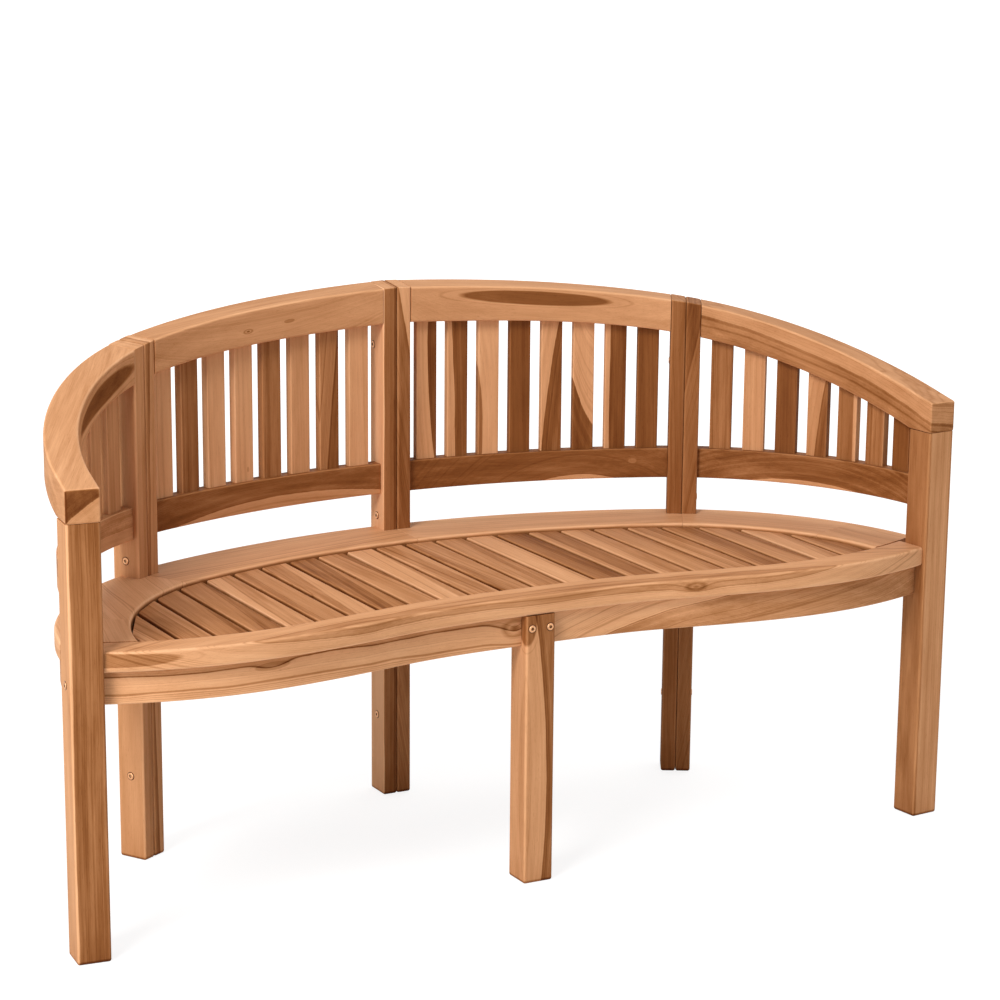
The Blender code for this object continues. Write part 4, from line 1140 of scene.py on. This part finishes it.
sides = (("left", -1), ("right", 1))
centre_bolts = (
    ("low", LOW_BOLT, 0.0),
    ("middle", CENTRE_BOLT, 0.0),
    ("top", CREST_CENTRE - TOP_BOLT_DROP, POST / 4),
)
corner_bolts = (
    ("inner", -1, RAIL_BOLT), ("outer", 1, ARM_BOLT),
    ("outer", 1, LOW_BOLT), ("inner", -1, LOW_BOLT),
)
for label, height, back in centre_bolts:
    for end, side in sides:
        point = (side * POST / 2, back_y + back_radius + back, height)
        node = f"back_centre_{label}_bolt"
        bolt_head(f"back_centre_{label}_{end}_head", point, (side, 0, 0), node)
for label, side in sides:
    point = (side * CENTRE_BOLT_SIDE, centre_post_y - POST / 2, board_under - SEAT_BOLT_DROP)
    bolt_head(f"front_centre_{label}_head", point, (0, -1, 0), f"front_centre_{label}_bolt")
for label, side in sides:
    point, along, _ = arch_axes(side * s_corner)
    for number, (half, direction, height) in enumerate(corner_bolts):
        facing = direction * side * along
        spot = point + facing * POST / 2
        bolt_head(f"{label}_corner_{half}_head_{number}", (*spot, height), (*facing, 0))
    point, along, outward = arch_axes(side * s_front)
    spot = point - side * along * POST / 2 + outward * POST / 2
    bolt_head(f"{label}_front_head", (*spot, FRONT_BOLT), (*outward, 0))


# Floor, light and camera: a white floor that fades out, a key light from the upper left with
# three weaker lamps, and a camera that looks from the front left and a little above.

FLOOR_REACH = 30.0
FADE_START, FADE_END = 2.0, 4.5
FLOOR_GLOW, NEAR_SHARE = 1.32, 0.64


def studio_floor():
    """A wide white floor that keeps the bench's soft shadow and fades to plain white beyond."""
    mesh = bpy.data.meshes.new("floor")
    corners = np.array([[-1, -1, 0], [1, -1, 0], [1, 1, 0], [-1, 1, 0]]) * FLOOR_REACH
    mesh.from_pydata(corners.tolist(), [], [(0, 1, 2, 3)])
    floor = placed("floor", mesh)
    material, tree, shader = new_material("white_floor")
    feed(shader, {"Base Color": (0.85, 0.85, 0.85, 1.0), "Roughness": 0.9})
    place = add(tree, "TexCoord").outputs["Object"]
    distance = add(tree, "VectorMath", {0: place}, operation="LENGTH").outputs["Value"]
    fade = add(tree, "MapRange", {
        "Value": distance, "From Min": FADE_START, "From Max": FADE_END, "To Min": NEAR_SHARE,
    }).outputs["Result"]
    seen = add(tree, "LightPath").outputs["Is Camera Ray"]
    share = add(tree, "Math", {0: seen, 1: fade}, operation="MULTIPLY").outputs[0]
    glow = add(tree, "Emission", {"Strength": FLOOR_GLOW}).outputs[0]
    mixed = add(tree, "MixShader", {0: share, 1: shader.outputs[0], 2: glow}).outputs[0]
    feed(tree.nodes["Material Output"], {"Surface": mixed})
    mesh.materials.append(material)


def white_world(ambient):
    """Even pale light all round, shown as plain white to the camera and in reflections."""
    world = bpy.data.worlds.new("studio")
    bpy.context.scene.world = world
    world.use_nodes = True
    tree = world.node_tree
    tree.nodes.clear()
    white = (1.0, 1.0, 1.0, 1.0)
    lit, shown = (
        add(tree, "Background", {"Color": white, "Strength": strength}).outputs[0]
        for strength in (ambient, 1.0)
    )
    rays = add(tree, "LightPath").outputs
    seen = rays["Is Camera Ray"]
    for ray in ("Is Glossy Ray", "Is Transmission Ray"):
        seen = add(tree, "Math", {0: seen, 1: rays[ray]}, operation="MAXIMUM").outputs[0]
    mixed = add(tree, "MixShader", {0: seen, 1: lit, 2: shown}).outputs[0]
    add(tree, "OutputWorld", {"Surface": mixed})


def soft_box(name, place, size, power):
    """A square area lamp aimed at the middle of the seat."""
    lamp = bpy.data.lights.new(name, "AREA")
    lamp.shape = "SQUARE"
    lamp.size = size
    lamp.energy = power
    holder = placed(name, lamp)
    holder.location = place
    aim = Vector((0.0, 0.0, SEAT_TOP)) - Vector(place)
    holder.rotation_euler = aim.to_track_quat("-Z", "Y").to_euler()


studio_floor()
white_world(ambient=0.40)
soft_box("key_light", (-3.5, -2.1, 3.9), size=1.8, power=200.0)
soft_box("top_light", (1.6, 0.8, 4.2), size=2.6, power=46.0)
soft_box("low_light", (-4.3, -2.2, 0.4), size=1.6, power=52.0)
soft_box("fill_light", (1.5, -4.6, 0.6), size=3.0, power=24.0)

CAMERA_PLACE = (-2.0847, -3.9441, 1.5551)
CAMERA_YAW = math.radians(28.477)
CAMERA_PITCH = math.radians(-14.195)
CAMERA_ROLL = math.radians(0.485)
FOCAL_LENGTH = 105.3
SENSOR = 36.0
SHIFT = (0.0039, 0.0783)

lens = bpy.data.cameras.new("camera")
lens.sensor_width = SENSOR
lens.lens = FOCAL_LENGTH
lens.shift_x, lens.shift_y = SHIFT
camera = placed("camera", lens)
camera.matrix_world = (
    Matrix.Translation(CAMERA_PLACE)
    @ Matrix.Rotation(-CAMERA_YAW, 4, "Z")
    @ Matrix.Rotation(math.pi / 2 + CAMERA_PITCH, 4, "X")
    @ Matrix.Rotation(CAMERA_ROLL, 4, "Z")
)
bpy.context.scene.camera = camera
bpy.context.scene.view_settings.view_transform = "Standard"
